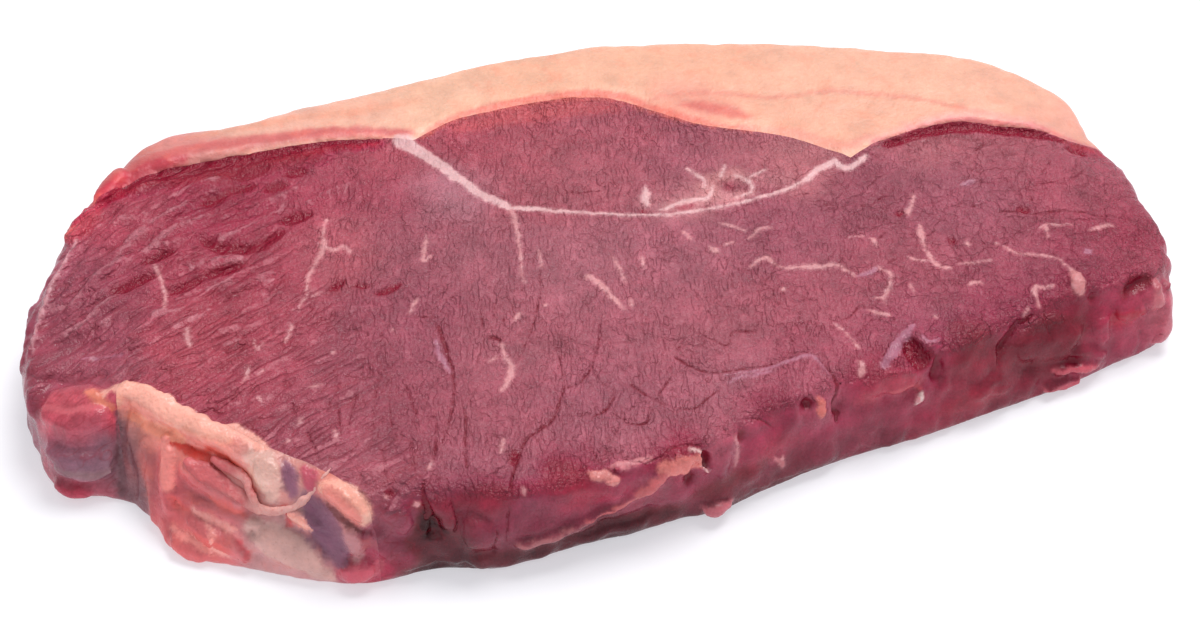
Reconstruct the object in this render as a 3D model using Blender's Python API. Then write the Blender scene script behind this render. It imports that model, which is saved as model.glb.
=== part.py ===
"""A thick raw sirloin steak, lying flat: the main muscle, the muscle under the fat, the back fat
and a patch of fat and sinew at the front left. Metres, +Z up, the origin at the middle of the
bottom. The long side runs along X and the fat along +Y."""

import math

import bmesh
import bpy
from mathutils import Vector, noise
from mathutils.geometry import delaunay_2d_cdt

MM = 0.001
THICKNESS = 21.0  # mm, as every size below
GAP = 0.3  # between two pieces that touch
RING_STEP = 5.0  # along the side
GRID_STEP = 5.5  # across the top
BASE_STEP = 11.0  # across the flat bottom
SEAM_STEP = 4.0  # along a cut between two pieces
BELLY = 0.7  # how far the side swells at half height
FOOT_ROUND = 1.3  # how far the resting face stands in from the side
LEVELS = (0.0, 0.08, 0.27, 0.48, 0.68, 0.81, 0.9, 0.96, 1.0)  # heights of the side's rings
FAT_SHOULDER = 4.6  # radius of the top edge along the fat
LEAN_SHOULDER = 2.6  # radius of the top edge where the muscle was cut
REACH = 150.0  # cutters run this far out, past every side
LEFT_DROP, LEFT_DROP_START, LEFT_DROP_LENGTH = 4.6, -88.0, 24.0  # how the left end thins
RIGHT_DROP, RIGHT_DROP_START, RIGHT_DROP_LENGTH = 3.2, 94.0, 20.0  # how the right end thins
SWELL, SWELL_X, SWELL_Y = 0.4, 31.0, 19.0  # height and spread of the cut face's slow swells
RISE_WIDTH = 9.0  # a tissue reaches its full rise this far in from the side
LUMP_HEIGHT, LUMP_SIZE = 1.1, 11.0  # the uneven cut side
DIMPLE_HEIGHT, DIMPLE_SIZE = 0.45, 17.0  # the uneven cut face
INNER_CLEARANCE = 0.62  # of a grid step, between a sheet's rim and its first grid points
SHARPEST_MITRE = 0.08  # keeps a mitre short at a cutter's pointed ends

# How far each tissue stands above or below the middle of the cut face.
RISE = {"lean": 0.0, "cap_muscle": -0.3, "fat_cap": 0.9, "front_fat": -0.4}

# Sections round the side, against the clock seen from above: the foot's x and y, then the x and y
# of the top edge.
BACK_SIDE = [
    (104.8, 22.6, 106.4, 23.1),
    (103.8, 32.1, 105.4, 33.1),
    (97.6, 38.5, 98.6, 40.1),
    (89.2, 44.6, 90.2, 46.4),
    (70.4, 51.4, 71.0, 53.4),
    (50.6, 56.2, 51.0, 58.2),
    (34.4, 59.2, 34.6, 61.2),
    (9.6, 61.2, 9.6, 63.2),
    (-12.4, 59.2, -12.6, 61.2),
    (-48.3, 52.6, -48.9, 54.4),
    (-67.0, 48.0, -67.6, 49.7),
    (-82.0, 46.6, -82.8, 48.5),
    (-91.0, 40.4, -92.0, 41.8),
    (-99.3, 31.2, -100.0, 32.2),
]
LEFT_END = [
    (-105.8, 22.6, -105.4, 22.6),
    (-110.2, 11.6, -109.9, 11.6),
    (-115.1, -9.9, -114.9, -9.9),
    (-114.4, -18.4, -114.1, -18.4),
    (-113.0, -25.4, -111.0, -24.4),
    (-109.4, -32.4, -106.8, -29.4),
    (-101.6, -33.6, -100.4, -28.9),
    (-95.6, -36.6, -97.2, -25.2),
]
FRONT_PATCH = [
    (-91.8, -42.6, -93.4, -24.9),
    (-90.4, -49.4, -89.4, -28.9),
    (-85.2, -52.8, -84.4, -33.9),
    (-78.0, -55.4, -77.4, -39.9),
    (-69.1, -59.0, -69.4, -45.9),
    (-59.6, -62.0, -61.9, -51.9),
    (-52.6, -63.4, -54.9, -57.4),
]
FRONT_SIDE = [
    (-45.8, -62.4, -45.4, -57.9),
    (-37.4, -61.8, -35.9, -58.4),
    (-28.4, -63.0, -27.4, -60.4),
    (-20.0, -61.4, -19.4, -60.7),
    (-11.0, -59.0, -10.4, -59.4),
    (-1.4, -57.8, -1.0, -58.0),
    (9.1, -55.0, 9.1, -55.1),
    (16.6, -54.6, 17.1, -51.9),
    (25.6, -51.0, 25.6, -47.2),
    (45.3, -44.0, 43.6, -40.4),
    (54.6, -41.9, 53.6, -38.9),
    (65.6, -39.1, 64.6, -34.9),
    (77.8, -35.4, 75.6, -29.9),
    (90.0, -31.8, 85.6, -25.9),
    (103.0, -26.4, 97.0, -22.2),
]
RIGHT_END = [
    (111.6, -22.6, 108.2, -19.6),
    (115.2, -15.2, 113.8, -13.8),
    (115.0, -5.9, 114.6, -5.4),
    (113.4, 4.2, 113.0, 4.2),
    (110.6, 14.1, 110.6, 14.1),
]

# Where the tissues meet, as routes across the top, left to right.
FAT_TO_LEAN_LEFT = [
    (-108.4, 26.6),
    (-97.4, 31.1),
    (-87.4, 35.6),
    (-76.4, 37.6),
    (-56.4, 39.6),
    (-40.4, 39.1),
    (-32.9, 37.1),
]
FAT_TO_CAP = [
    (-32.9, 37.1),
    (-24.4, 41.6),
    (-16.4, 43.6),
    (-3.4, 44.8),
    (8.6, 43.6),
    (18.6, 37.6),
    (26.6, 32.6),
    (41.6, 27.6),
    (55.1, 19.1),
]
CAP_TO_LEAN = [
    (-32.9, 37.1),
    (-26.4, 26.6),
    (-15.4, 14.6),
    (-1.4, 11.6),
    (11.6, 8.6),
    (30.6, 9.6),
    (41.6, 11.6),
    (55.1, 19.1),
]
FAT_TO_LEAN_RIGHT = [
    (55.1, 19.1),
    (63.6, 23.6),
    (77.6, 26.6),
    (89.6, 24.1),
    (103.6, 19.6),
    (111.6, 17.6),
]
PATCH_TO_LEAN = [
    (-95.4, -41.4),
    (-96.9, -31.4),
    (-96.4, -23.9),
    (-92.4, -22.9),
    (-84.4, -30.9),
    (-73.4, -39.9),
    (-61.4, -48.9),
    (-51.4, -58.9),
    (-49.9, -67.4),
]

# Colour and roughness of each tissue.
TISSUES = {
    "lean": ((0.39, 0.105, 0.13, 1.0), 0.36),
    "cap_muscle": ((0.42, 0.125, 0.15, 1.0), 0.36),
    "fat_cap": ((0.95, 0.52, 0.36, 1.0), 0.42),
    "front_fat": ((0.62, 0.28, 0.26, 1.0), 0.38),
}


def clear_scene():
    for obj in list(bpy.data.objects):
        bpy.data.objects.remove(obj, do_unlink=True)


def ease(x):
    """0 below 0, 1 above 1, and a smooth rise between."""
    x = min(max(x, 0.0), 1.0)
    return x * x * (3.0 - 2.0 * x)


def smooth_route(rows, step, closed=False):
    """A Catmull-Rom curve through rows of numbers, with points about one step apart in x and y."""
    count = len(rows)
    gaps = count if closed else count - 1
    route = []
    for i in range(gaps):
        if closed:
            four = [rows[(i + k) % count] for k in (-1, 0, 1, 2)]
        else:
            four = [rows[min(max(i + k, 0), count - 1)] for k in (-1, 0, 1, 2)]
        before, start, end, after = four
        parts = max(1, round(math.dist(start[:2], end[:2]) / step))
        for j in range(parts):
            t = j / parts
            weights = (
                -0.5 * t + t * t - 0.5 * t**3,
                1.0 - 2.5 * t * t + 1.5 * t**3,
                0.5 * t + 2.0 * t * t - 1.5 * t**3,
                -0.5 * t * t + 0.5 * t**3,
            )
            values = zip(before, start, end, after)
            route.append(tuple(sum(w * v for w, v in zip(weights, column)) for column in values))
    if not closed:
        route.append(tuple(rows[-1]))
    return route


def inward_normals(loop):
    """The unit normals that point into a loop which runs against the clock."""
    normals = []
    for i, _ in enumerate(loop):
        ahead = loop[(i + 1) % len(loop)]
        behind = loop[i - 1]
        along = Vector((ahead[0] - behind[0], ahead[1] - behind[1])).normalized()
        normals.append(Vector((-along.y, along.x)))
    return normals


def top_height(x, y):
    """The cut face over a point: thinner at both ends, with slow swells across it."""
    left_drop = LEFT_DROP * ease((LEFT_DROP_START - x) / LEFT_DROP_LENGTH)
    right_drop = RIGHT_DROP * ease((x - RIGHT_DROP_START) / RIGHT_DROP_LENGTH)
    swell = SWELL * math.sin(x / SWELL_X) * math.sin(y / SWELL_Y)
    dimple = DIMPLE_HEIGHT * noise.noise(Vector((x, y, 0.0)) / DIMPLE_SIZE)
    return THICKNESS - left_drop - right_drop + swell + dimple


def side_rings():
    """The rings of the side from the resting face to the cut face, in mm."""
    sections = [row + (FAT_SHOULDER,) for row in BACK_SIDE]
    for side in (LEFT_END, FRONT_PATCH, FRONT_SIDE, RIGHT_END):
        sections += [row + (LEAN_SHOULDER,) for row in side]
    stations = smooth_route(sections, RING_STEP, closed=True)
    normals = inward_normals([s[2:4] for s in stations])
    rings = []
    for level in LEVELS:
        ring = []
        for (foot_x, foot_y, rim_x, rim_y, shoulder), inward in zip(stations, normals):
            height = top_height(rim_x, rim_y)
            straight = 1.0 - shoulder / height
            bend = max(0.0, (level - straight) / (1.0 - straight))
            inset = shoulder * (1.0 - math.sqrt(max(0.0, 1.0 - bend * bend)))
            lump = LUMP_HEIGHT * noise.noise(Vector((rim_x, rim_y, height * level)) / LUMP_SIZE)
            inset -= (BELLY + lump) * math.sin(math.pi * level)
            if level == 0.0:
                inset += FOOT_ROUND
            x = foot_x + (rim_x - foot_x) * level + inward.x * inset
            y = foot_y + (rim_y - foot_y) * level + inward.y * inset
            ring.append((x, y, height * level))
        rings.append(ring)
    return rings


def inside(loop, x, y):
    """Whether a point lies within a loop."""
    found = False
    for (x0, y0, *_), (x1, y1, *_) in zip(loop, loop[1:] + loop[:1]):
        if (y0 > y) != (y1 > y) and x < x0 + (x1 - x0) * (y - y0) / (y1 - y0):
            found = not found
    return found


def sheet(loop, step, clearance):
    """Triangles that fill a loop, on a grid that keeps clear of it: new points, and corners."""
    xs = [p[0] for p in loop]
    ys = [p[1] for p in loop]
    row_step = step * math.sqrt(3.0) / 2.0
    inner = []
    for j in range(int((max(ys) - min(ys)) / row_step) + 1):
        y = min(ys) + (j + 0.5) * row_step
        for i in range(int((max(xs) - min(xs)) / step) + 1):
            x = min(xs) + (i + 0.5 * (j % 2)) * step
            near = min(math.dist((x, y), p[:2]) for p in loop)
            if near > clearance and inside(loop, x, y):
                inner.append((x, y))
    flat = [Vector(p[:2]) for p in loop] + [Vector(p) for p in inner]
    edges = [(i, (i + 1) % len(loop)) for i in range(len(loop))]
    _, _, faces, *_ = delaunay_2d_cdt(flat, edges, [], 1, 1e-6)
    return inner, faces


def steak_mesh(name, rings, rise):
    """The whole steak as one closed mesh, with its cut face raised by the rise of one tissue."""
    bm = bmesh.new()
    rings = [[bm.verts.new(Vector(p) * MM) for p in ring] for ring in rings]
    for lower, upper in zip(rings, rings[1:]):
        for i, _ in enumerate(lower):
            j = (i + 1) % len(lower)
            bm.faces.new((lower[i], lower[j], upper[j], upper[i]))
    for ring, step, is_top in ((rings[0], BASE_STEP, False), (rings[-1], GRID_STEP, True)):
        loop = [tuple(v.co / MM) for v in ring]
        inner, faces = sheet(loop, step, INNER_CLEARANCE * step)
        verts = list(ring)
        for x, y in inner:
            z = top_height(x, y) if is_top else 0.0
            if is_top:
                edge = min(math.dist((x, y), p[:2]) for p in loop)
                z += rise * ease(edge / RISE_WIDTH)
            verts.append(bm.verts.new(Vector((x, y, z)) * MM))
        for corners in faces:
            order = corners if is_top else reversed(corners)
            bm.faces.new([verts[k] for k in order])
    bmesh.ops.recalc_face_normals(bm, faces=bm.faces[:])
    mesh = bpy.data.meshes.new(name)
    bm.to_mesh(mesh)
    bm.free()
    return mesh


def inset_loop(loop, distance):
    """A loop moved in on every side, with mitred corners."""
    moved = []
    for i, here in enumerate(loop):
        ahead = loop[(i + 1) % len(loop)]
        behind = loop[i - 1]
        coming = Vector((here[0] - behind[0], here[1] - behind[1])).normalized()
        going = Vector((ahead[0] - here[0], ahead[1] - here[1])).normalized()
        mitre = Vector((-coming.y - going.y, coming.x + going.x))
        mitre *= distance / max(1.0 + coming.dot(going), SHARPEST_MITRE)
        moved.append((here[0] + mitre.x, here[1] + mitre.y))
    return moved


def cutter(name, loop):
    """A hidden upright prism that keeps one tissue's share of the steak."""
    bm = bmesh.new()
    base = [bm.verts.new(Vector((x, y, -THICKNESS)) * MM) for x, y in inset_loop(loop, GAP / 2.0)]
    face = bm.faces.new(base)
    grown = bmesh.ops.extrude_face_region(bm, geom=[face])
    lifted = [v for v in grown["geom"] if isinstance(v, bmesh.types.BMVert)]
    bmesh.ops.translate(bm, verts=lifted, vec=Vector((0.0, 0.0, 3.0 * THICKNESS)) * MM)
    bmesh.ops.recalc_face_normals(bm, faces=bm.faces[:])
    mesh = bpy.data.meshes.new(name)
    bm.to_mesh(mesh)
    bm.free()
    obj = bpy.data.objects.new(name, mesh)
    bpy.context.scene.collection.objects.link(obj)
    obj.hide_render = True
    obj.display_type = "WIRE"
    return obj


def tissue_loops():
    """The plan of each tissue's cutter, against the clock, from the shared routes."""
    fat_left = smooth_route(FAT_TO_LEAN_LEFT, SEAM_STEP)
    fat_cap = smooth_route(FAT_TO_CAP, SEAM_STEP)
    cap_lean = smooth_route(CAP_TO_LEAN, SEAM_STEP)
    fat_right = smooth_route(FAT_TO_LEAN_RIGHT, SEAM_STEP)
    patch = smooth_route(PATCH_TO_LEAN, SEAM_STEP)
    left_start = (-REACH, FAT_TO_LEAN_LEFT[0][1])
    right_end = (REACH, FAT_TO_LEAN_RIGHT[-1][1])
    patch_left = (-REACH, PATCH_TO_LEAN[0][1])
    patch_right = (PATCH_TO_LEAN[-1][0], -REACH)
    fat = [left_start] + fat_left + fat_cap[1:] + fat_right[1:]
    fat += [right_end, (REACH, REACH), (-REACH, REACH)]
    lean = [left_start] + fat_left + cap_lean[1:] + fat_right[1:]
    lean += [right_end, (REACH, -REACH), patch_right]
    lean += patch[::-1] + [patch_left]
    return {
        "lean": lean[::-1],
        "cap_muscle": cap_lean + fat_cap[-2:0:-1],
        "fat_cap": fat,
        "front_fat": patch[::-1] + [patch_left, (-REACH, -REACH), patch_right],
    }


def tissue_material(name):
    colour, roughness = TISSUES[name]
    material = bpy.data.materials.new(name)
    material.use_nodes = True
    shader = material.node_tree.nodes["Principled BSDF"]
    shader.inputs["Base Color"].default_value = colour
    shader.inputs["Roughness"].default_value = roughness
    shader.inputs["Metallic"].default_value = 0.0
    return material


def tissue(name, rings, loop):
    """One piece of the steak: the whole form, kept only within its cutter."""
    mesh = steak_mesh(name, rings, RISE[name])
    mesh.materials.append(tissue_material(name))
    obj = bpy.data.objects.new(name, mesh)
    bpy.context.scene.collection.objects.link(obj)
    keep = obj.modifiers.new("keep", "BOOLEAN")
    keep.operation = "INTERSECT"
    keep.solver = "EXACT"
    keep.object = cutter(name + "_cutter", loop)
    mesh.shade_smooth()
    mesh.set_sharp_from_angle(angle=math.radians(50.0))
    obj.location = keep.object.location = middle_to_origin(rings)


def middle_to_origin(rings):
    """The small move that brings the middle of the bottom of the steak's box to the origin."""
    xs = [x for ring in rings for x, _, _ in ring]
    ys = [y for ring in rings for _, y, _ in ring]
    return Vector((min(xs) + max(xs), min(ys) + max(ys), 0.0)) * -0.5 * MM


clear_scene()
form = side_rings()
for tissue_name, tissue_loop in tissue_loops().items():
    tissue(tissue_name, form, tissue_loop)
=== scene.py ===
# %% [markdown]
# # A raw sirloin steak
#
# The steak is one thick slice of beef: a broad lean muscle, a second muscle under the fat, the
# creamy back fat along one long side and a small patch of fat and sinew at the front left corner.
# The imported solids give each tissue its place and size. This lesson turns them into one smooth
# skin, carves what a knife and the meat's own grain leave on it, and cuts it back into the four
# tissues, so that neighbours meet with no gap.

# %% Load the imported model
import math

import bmesh
import bpy
import numpy as np
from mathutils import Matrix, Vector
from mathutils.bvhtree import BVHTree
from mathutils.geometry import delaunay_2d_cdt


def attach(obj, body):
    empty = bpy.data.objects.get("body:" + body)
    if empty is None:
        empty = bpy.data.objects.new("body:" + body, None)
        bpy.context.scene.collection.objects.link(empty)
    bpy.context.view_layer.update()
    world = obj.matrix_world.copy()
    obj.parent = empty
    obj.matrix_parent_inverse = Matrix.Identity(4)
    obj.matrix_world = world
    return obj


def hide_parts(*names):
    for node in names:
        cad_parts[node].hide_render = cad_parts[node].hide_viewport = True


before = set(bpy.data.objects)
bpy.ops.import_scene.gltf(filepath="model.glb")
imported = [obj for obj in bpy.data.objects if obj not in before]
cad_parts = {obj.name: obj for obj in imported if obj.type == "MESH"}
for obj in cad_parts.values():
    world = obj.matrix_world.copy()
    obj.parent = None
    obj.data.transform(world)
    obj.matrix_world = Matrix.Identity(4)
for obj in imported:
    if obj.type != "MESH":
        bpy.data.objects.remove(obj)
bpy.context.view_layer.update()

MM = 0.001  # scene lengths are metres, and the tables below are millimetres

# %% [markdown]
# ## Camera, floor and light
#
# Raw meat is wet, so most of its character is in small highlights. A wide lamp behind and above
# the steak lays a broad sheen on the cut face and leaves the side that faces the viewer darker.
# A pale surround fills the shadows. The camera comes first, so that every later step can be
# looked at from the same place.

# %% Camera
SENSOR = 36.0
LENS = 112.5
CAMERA_AZIMUTH = -8.0
CAMERA_ELEVATION = 46.0
CAMERA_DISTANCE = 0.75
CLIP = (0.01, 20.0)
LOOK_AT = Vector((-0.4, -7.9, 11.0)) * MM


def direction(azimuth, elevation):
    """The unit vector from the steak towards a place given by two angles in degrees."""
    turn = math.radians(azimuth)
    lift = math.radians(elevation)
    flat = math.cos(lift)
    return Vector((math.sin(turn) * flat, -math.cos(turn) * flat, math.sin(lift)))


def aim(obj, azimuth, elevation, distance):
    """Puts a camera or a lamp at a distance from the steak, pointing at it."""
    back = direction(azimuth, elevation)
    obj.location = LOOK_AT + back * distance
    obj.rotation_mode = "QUATERNION"
    obj.rotation_quaternion = (-back).to_track_quat("-Z", "Y")
    bpy.context.scene.collection.objects.link(obj)


lens = bpy.data.cameras.new("camera")
lens.sensor_width = SENSOR
lens.lens = LENS
lens.clip_start, lens.clip_end = CLIP
camera = bpy.data.objects.new("camera", lens)
aim(camera, CAMERA_AZIMUTH, CAMERA_ELEVATION, CAMERA_DISTANCE)
bpy.context.scene.camera = camera
print("camera at", [round(c, 3) for c in camera.location])

# %% Lamps
# (name, azimuth, elevation, distance, size, power)
LAMPS = (
    ("window", 136.0, 68.0, 1.1, 0.7, 12.8),
    ("reflector", -35.0, 40.0, 1.2, 0.8, 1.0),
)
for name, azimuth, elevation, distance, size, power in LAMPS:
    lamp = bpy.data.lights.new(name, "AREA")
    lamp.shape = "DISK"
    lamp.size = size
    lamp.energy = power
    aim(bpy.data.objects.new(name, lamp), azimuth, elevation, distance)
print("lamps:", [row[0] for row in LAMPS])

# %% [markdown]
# ## A way to write materials as sums
#
# A finish is a small piece of arithmetic: a base colour, times a little grain, with a darker line
# where there is a crack. `Wire` wraps one output socket, so that such a sum can be written as a
# Python expression, and each operator adds its Math node. Anything else comes from `Wire.add`.


# %% The Wire class
class Wire:
    """One output socket of a material's nodes. Operators on it add Math nodes."""

    def __init__(self, tree, socket=None):
        self.tree = tree
        self.socket = socket

    def add(self, kind, settings=None, sockets=None, out=0):
        """A new node: its settings first, then a value or a link for each socket."""
        node = self.tree.nodes.new(kind)
        for name, value in (settings or {}).items():
            setattr(node, name, value)
        for key, value in (sockets or {}).items():
            if isinstance(value, Wire):
                self.tree.links.new(value.socket, node.inputs[key])
            else:
                node.inputs[key].default_value = value
        return Wire(self.tree, node.outputs[out] if len(node.outputs) else None)

    def maths(self, operation, *values):
        sockets = dict(enumerate(values))
        return self.add("ShaderNodeMath", {"operation": operation}, sockets)

    def __add__(self, other):
        return self.maths("ADD", self, other)

    def __radd__(self, other):
        return self.maths("ADD", other, self)

    def __sub__(self, other):
        return self.maths("SUBTRACT", self, other)

    def __rsub__(self, other):
        return self.maths("SUBTRACT", other, self)

    def __mul__(self, other):
        return self.maths("MULTIPLY", self, other)

    def __rmul__(self, other):
        return self.maths("MULTIPLY", other, self)

    def size(self):
        return self.maths("ABSOLUTE", self)

    def step(self, low, high):
        """0 below low, 1 above high, and a smooth rise between."""
        sockets = {"Value": self, "From Min": low, "From Max": high}
        return self.add("ShaderNodeMapRange", {"interpolation_type": "SMOOTHSTEP"}, sockets)

    def tint(self, factor, colour):
        """This colour, with another laid over it."""
        sockets = {0: factor, 6: self, 7: colour}
        return self.add("ShaderNodeMix", {"data_type": "RGBA"}, sockets, out=2)

    def scaled(self, factor):
        """This vector or colour times a number."""
        return self.add("ShaderNodeVectorMath", {"operation": "SCALE"}, {0: self, 3: factor})

    def shifted(self, other):
        """This vector plus another."""
        return self.add("ShaderNodeVectorMath", {"operation": "ADD"}, {0: self, 1: other})

    def bump(self):
        """The normals of a surface that this height, in millimetres, lifts."""
        sockets = {"Height": self, "Strength": 1.0, "Distance": MM}
        return self.add("ShaderNodeBump", {}, sockets)

    def attribute(self, name, out=2):
        """What the mesh stores under a name: out is 0 for a colour and 2 for a number."""
        return self.add("ShaderNodeAttribute", {"attribute_name": name}, out=out)

    def millimetres(self):
        """The place on the steak, in millimetres."""
        return self.add("ShaderNodeTexCoord", out=3).scaled(1.0 / MM)

    def noise(self, size, detail=2.0, roughness=0.5, out=0):
        """Soft noise from 0 to 1 at this place, its bumps about a size across."""
        sockets = {"Vector": self, "Scale": 1.0 / size, "Detail": detail, "Roughness": roughness}
        return self.add("ShaderNodeTexNoise", {}, sockets, out=out)

    def cells(self, size):
        """How far this place is from the edge of its cell, in the cell's own size."""
        settings = {"feature": "DISTANCE_TO_EDGE"}
        return self.add("ShaderNodeTexVoronoi", settings, {"Vector": self, "Scale": 1.0 / size})

    def turned(self, degrees, sizes):
        """This place in a frame turned about the upright, each axis divided by a size."""
        sockets = {0: self, 2: (0.0, 0.0, math.radians(degrees)), 3: sizes}
        return self.add("ShaderNodeMapping", {"vector_type": "TEXTURE"}, sockets)


def new_material(name):
    """An empty material, and a wire that adds nodes to it."""
    material = bpy.data.materials.new(name)
    material.use_nodes = True
    material.node_tree.nodes.clear()
    return material, Wire(material.node_tree)


def surface(wire, sockets):
    """The shader and the output of a material, with the given sockets of the shader."""
    shader = wire.add("ShaderNodeBsdfPrincipled", {}, sockets)
    wire.add("ShaderNodeOutputMaterial", {}, {"Surface": shader})


def linear(shown):
    """Colours as shown on a screen, from 0 to 255, as the linear ones that light adds up in."""
    shown = np.clip(np.array(shown, float) / 255.0, 0.0, 1.0)
    return np.where(shown <= 0.04045, shown / 12.92, ((shown + 0.055) / 1.055) ** 2.4)


def paint(shown):
    """A shown colour as a node takes it."""
    return (*map(float, linear(shown)), 1.0)


print("wires ready")

# %% Floor and surround
FLOOR_SIZE = 6.0
FLOOR_COLOUR = (182, 182, 184)
FLOOR_ROUGHNESS = 0.9
FLOOR_GLOW = 0.5
GLOW_COLOUR = (250, 249, 255)
SURROUND_COLOUR = (250, 251, 255)
SURROUND_LIGHT = 0.62
SURROUND_SEEN = 1.0

floor_material, wire = new_material("studio_floor")
surface(wire, {
    "Base Color": paint(FLOOR_COLOUR),
    "Roughness": FLOOR_ROUGHNESS,
    "Emission Color": paint(GLOW_COLOUR),
    "Emission Strength": FLOOR_GLOW,
})
bm = bmesh.new()
bmesh.ops.create_grid(bm, x_segments=1, y_segments=1, size=FLOOR_SIZE / 2.0)
floor_mesh = bpy.data.meshes.new("floor")
bm.to_mesh(floor_mesh)
bm.free()
floor_mesh.materials.append(floor_material)
floor = bpy.data.objects.new("floor", floor_mesh)
bpy.context.scene.collection.objects.link(floor)

world = bpy.data.worlds.new("surround")
world.use_nodes = True
world.node_tree.nodes.clear()
wire = Wire(world.node_tree)
seen = wire.add("ShaderNodeLightPath", out=0)
strength = SURROUND_LIGHT + seen * (SURROUND_SEEN - SURROUND_LIGHT)
sky = {"Color": paint(SURROUND_COLOUR), "Strength": strength}
wire.add("ShaderNodeOutputWorld", {}, {"Surface": wire.add("ShaderNodeBackground", {}, sky)})
bpy.context.scene.world = world
bpy.context.scene.view_settings.view_transform = "Standard"
print("floor", FLOOR_SIZE, "m across")

# %% [markdown]
# ## Noise and routes
#
# Two helpers do most of the modelling. `noise_at` gives smooth noise for thousands of places at
# once, because a loop over single points would be slow. `smooth_route` draws a flowing line
# through a few points, which is how a seam, a crack or a streak of fat is written down here.

# %% Noise
NOISE_TABLE = 4096
random = np.random.default_rng(11)
lattice = random.normal(size=(NOISE_TABLE, 3))
lattice /= np.linalg.norm(lattice, axis=1, keepdims=True)
HASH = np.array((73856093, 19349663, 83492791))
SEED_STRIDE = 2654435
NOISE_GAIN = 1.6
# (height, size in mm, seed) of each layer
LAYERS = {
    "side lumps": ((0.8, 9.0, 1), (0.45, 3.6, 2)),
    "top ripples": ((0.26, 6.5, 3), (0.14, 2.4, 4)),
    "fat swells": ((0.4, 12.0, 10), (0.16, 4.0, 11)),
    "mottle": ((0.2, 7.0, 40), (0.16, 2.6, 41)),
    "side mottle": ((0.16, 4.5, 44), (0.1, 1.8, 45)),
    "crackle": ((1.0, 10.0, 42), (0.4, 3.0, 43)),
    "fibre": ((1.0, 13.0, 46), (0.3, 4.0, 47)),
    "rough": ((1.0, 7.0, 48), (0.8, 2.6, 49)),
    "strand ripple": ((0.3, 2.4, 60), (0.14, 1.0, 61)),
}


def noise_at(places, size, seed=0):
    """Smooth noise from about -1 to 1 at each place, its bumps about a size across."""
    scaled = places / size
    corner = np.floor(scaled).astype(np.int64)
    inside = scaled - corner
    fade = inside**3 * (inside * (inside * 6.0 - 15.0) + 10.0)
    total = np.zeros(len(places))
    for offset in np.ndindex(2, 2, 2):
        keys = (corner + offset) * HASH
        pick = (keys[:, 0] ^ keys[:, 1] ^ keys[:, 2] ^ (seed * SEED_STRIDE)) % NOISE_TABLE
        slope = (lattice[pick] * (inside - offset)).sum(1)
        weight = np.where(offset, fade, 1.0 - fade).prod(1)
        total += slope * weight
    return total * NOISE_GAIN


def layered(places, name):
    """Several layers of noise added up."""
    return sum(height * noise_at(places, size, seed) for height, size, seed in LAYERS[name])


def drift(places, amount, size, seed):
    """Noise in all three directions, for moving places about."""
    return np.stack([amount * noise_at(places, size, seed + axis) for axis in range(3)], 1)


def ease(values, low, high):
    """0 below low, 1 above high, and a smooth rise between, for an array."""
    share = np.clip((values - low) / (high - low), 0.0, 1.0)
    return share * share * (3.0 - 2.0 * share)


# %% Routes
def smooth_route(points, step):
    """A Catmull-Rom curve through the points, with new points about a step apart."""
    points = np.array(points, float)
    if len(points) == 1:
        return points
    ends = np.vstack((points[:1], points, points[-1:]))
    route = []
    for before, start, end, after in zip(ends, ends[1:], ends[2:], ends[3:]):
        parts = max(1, round(np.linalg.norm(end - start) / step))
        t = (np.arange(parts) / parts)[:, None]
        route.append(
            start
            + t * 0.5 * (end - before)
            + t**2 * (before - 2.5 * start + 2.0 * end - 0.5 * after)
            + t**3 * (1.5 * (start - end) + 0.5 * (after - before))
        )
    route.append(points[-1:])
    return np.vstack(route)


print("noise and routes ready")

# %% [markdown]
# ## One skin round the whole steak
#
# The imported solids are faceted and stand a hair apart. A voxel remesh reads them as one volume and
# closes those gaps. Smoothing then takes the facets out, and it swells the mesh a little after each
# pass that shrinks it, so that the steak keeps its size.

# %% Join and remesh the solids
COARSE = 1.2
COARSE_PASSES = 18
SHRINK = 0.55
SWELL = -0.57


def object_from(name, bm):
    """A new object from a bmesh, which is freed."""
    mesh = bpy.data.meshes.new(name)
    bm.to_mesh(mesh)
    bm.free()
    obj = bpy.data.objects.new(name, mesh)
    bpy.context.scene.collection.objects.link(obj)
    return obj


def settled(obj):
    """The object's mesh with its modifiers applied, in place of the old one."""
    graph = bpy.context.evaluated_depsgraph_get()
    mesh = bpy.data.meshes.new_from_object(obj.evaluated_get(graph))
    obj.modifiers.clear()
    old = obj.data
    obj.data = mesh
    bpy.data.meshes.remove(old)
    return mesh


def remeshed(obj, size):
    """The object's volume as one new skin of small squares, size in mm."""
    remesh = obj.modifiers.new("remesh", "REMESH")
    remesh.mode = "VOXEL"
    remesh.voxel_size = size * MM
    return settled(obj)


def vertex_array(mesh, key="co"):
    values = np.empty(len(mesh.vertices) * 3)
    mesh.vertices.foreach_get(key, values)
    return values.reshape(-1, 3)


def set_vertices(mesh, places):
    mesh.vertices.foreach_set("co", places.ravel())
    mesh.update()


def smooth(mesh, passes):
    """Evens a mesh out and keeps its size."""
    places = vertex_array(mesh)
    edges = np.empty(len(mesh.edges) * 2, int)
    mesh.edges.foreach_get("vertices", edges)
    edges = edges.reshape(-1, 2)
    count = np.bincount(edges.ravel(), minlength=len(places))
    for _ in range(passes):
        for amount in (SHRINK, SWELL):
            for axis in range(3):
                values = places[:, axis]
                middle = np.bincount(edges[:, 0], values[edges[:, 1]], len(places))
                middle += np.bincount(edges[:, 1], values[edges[:, 0]], len(places))
                places[:, axis] += amount * (middle / count - values)
    set_vertices(mesh, places)


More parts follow.
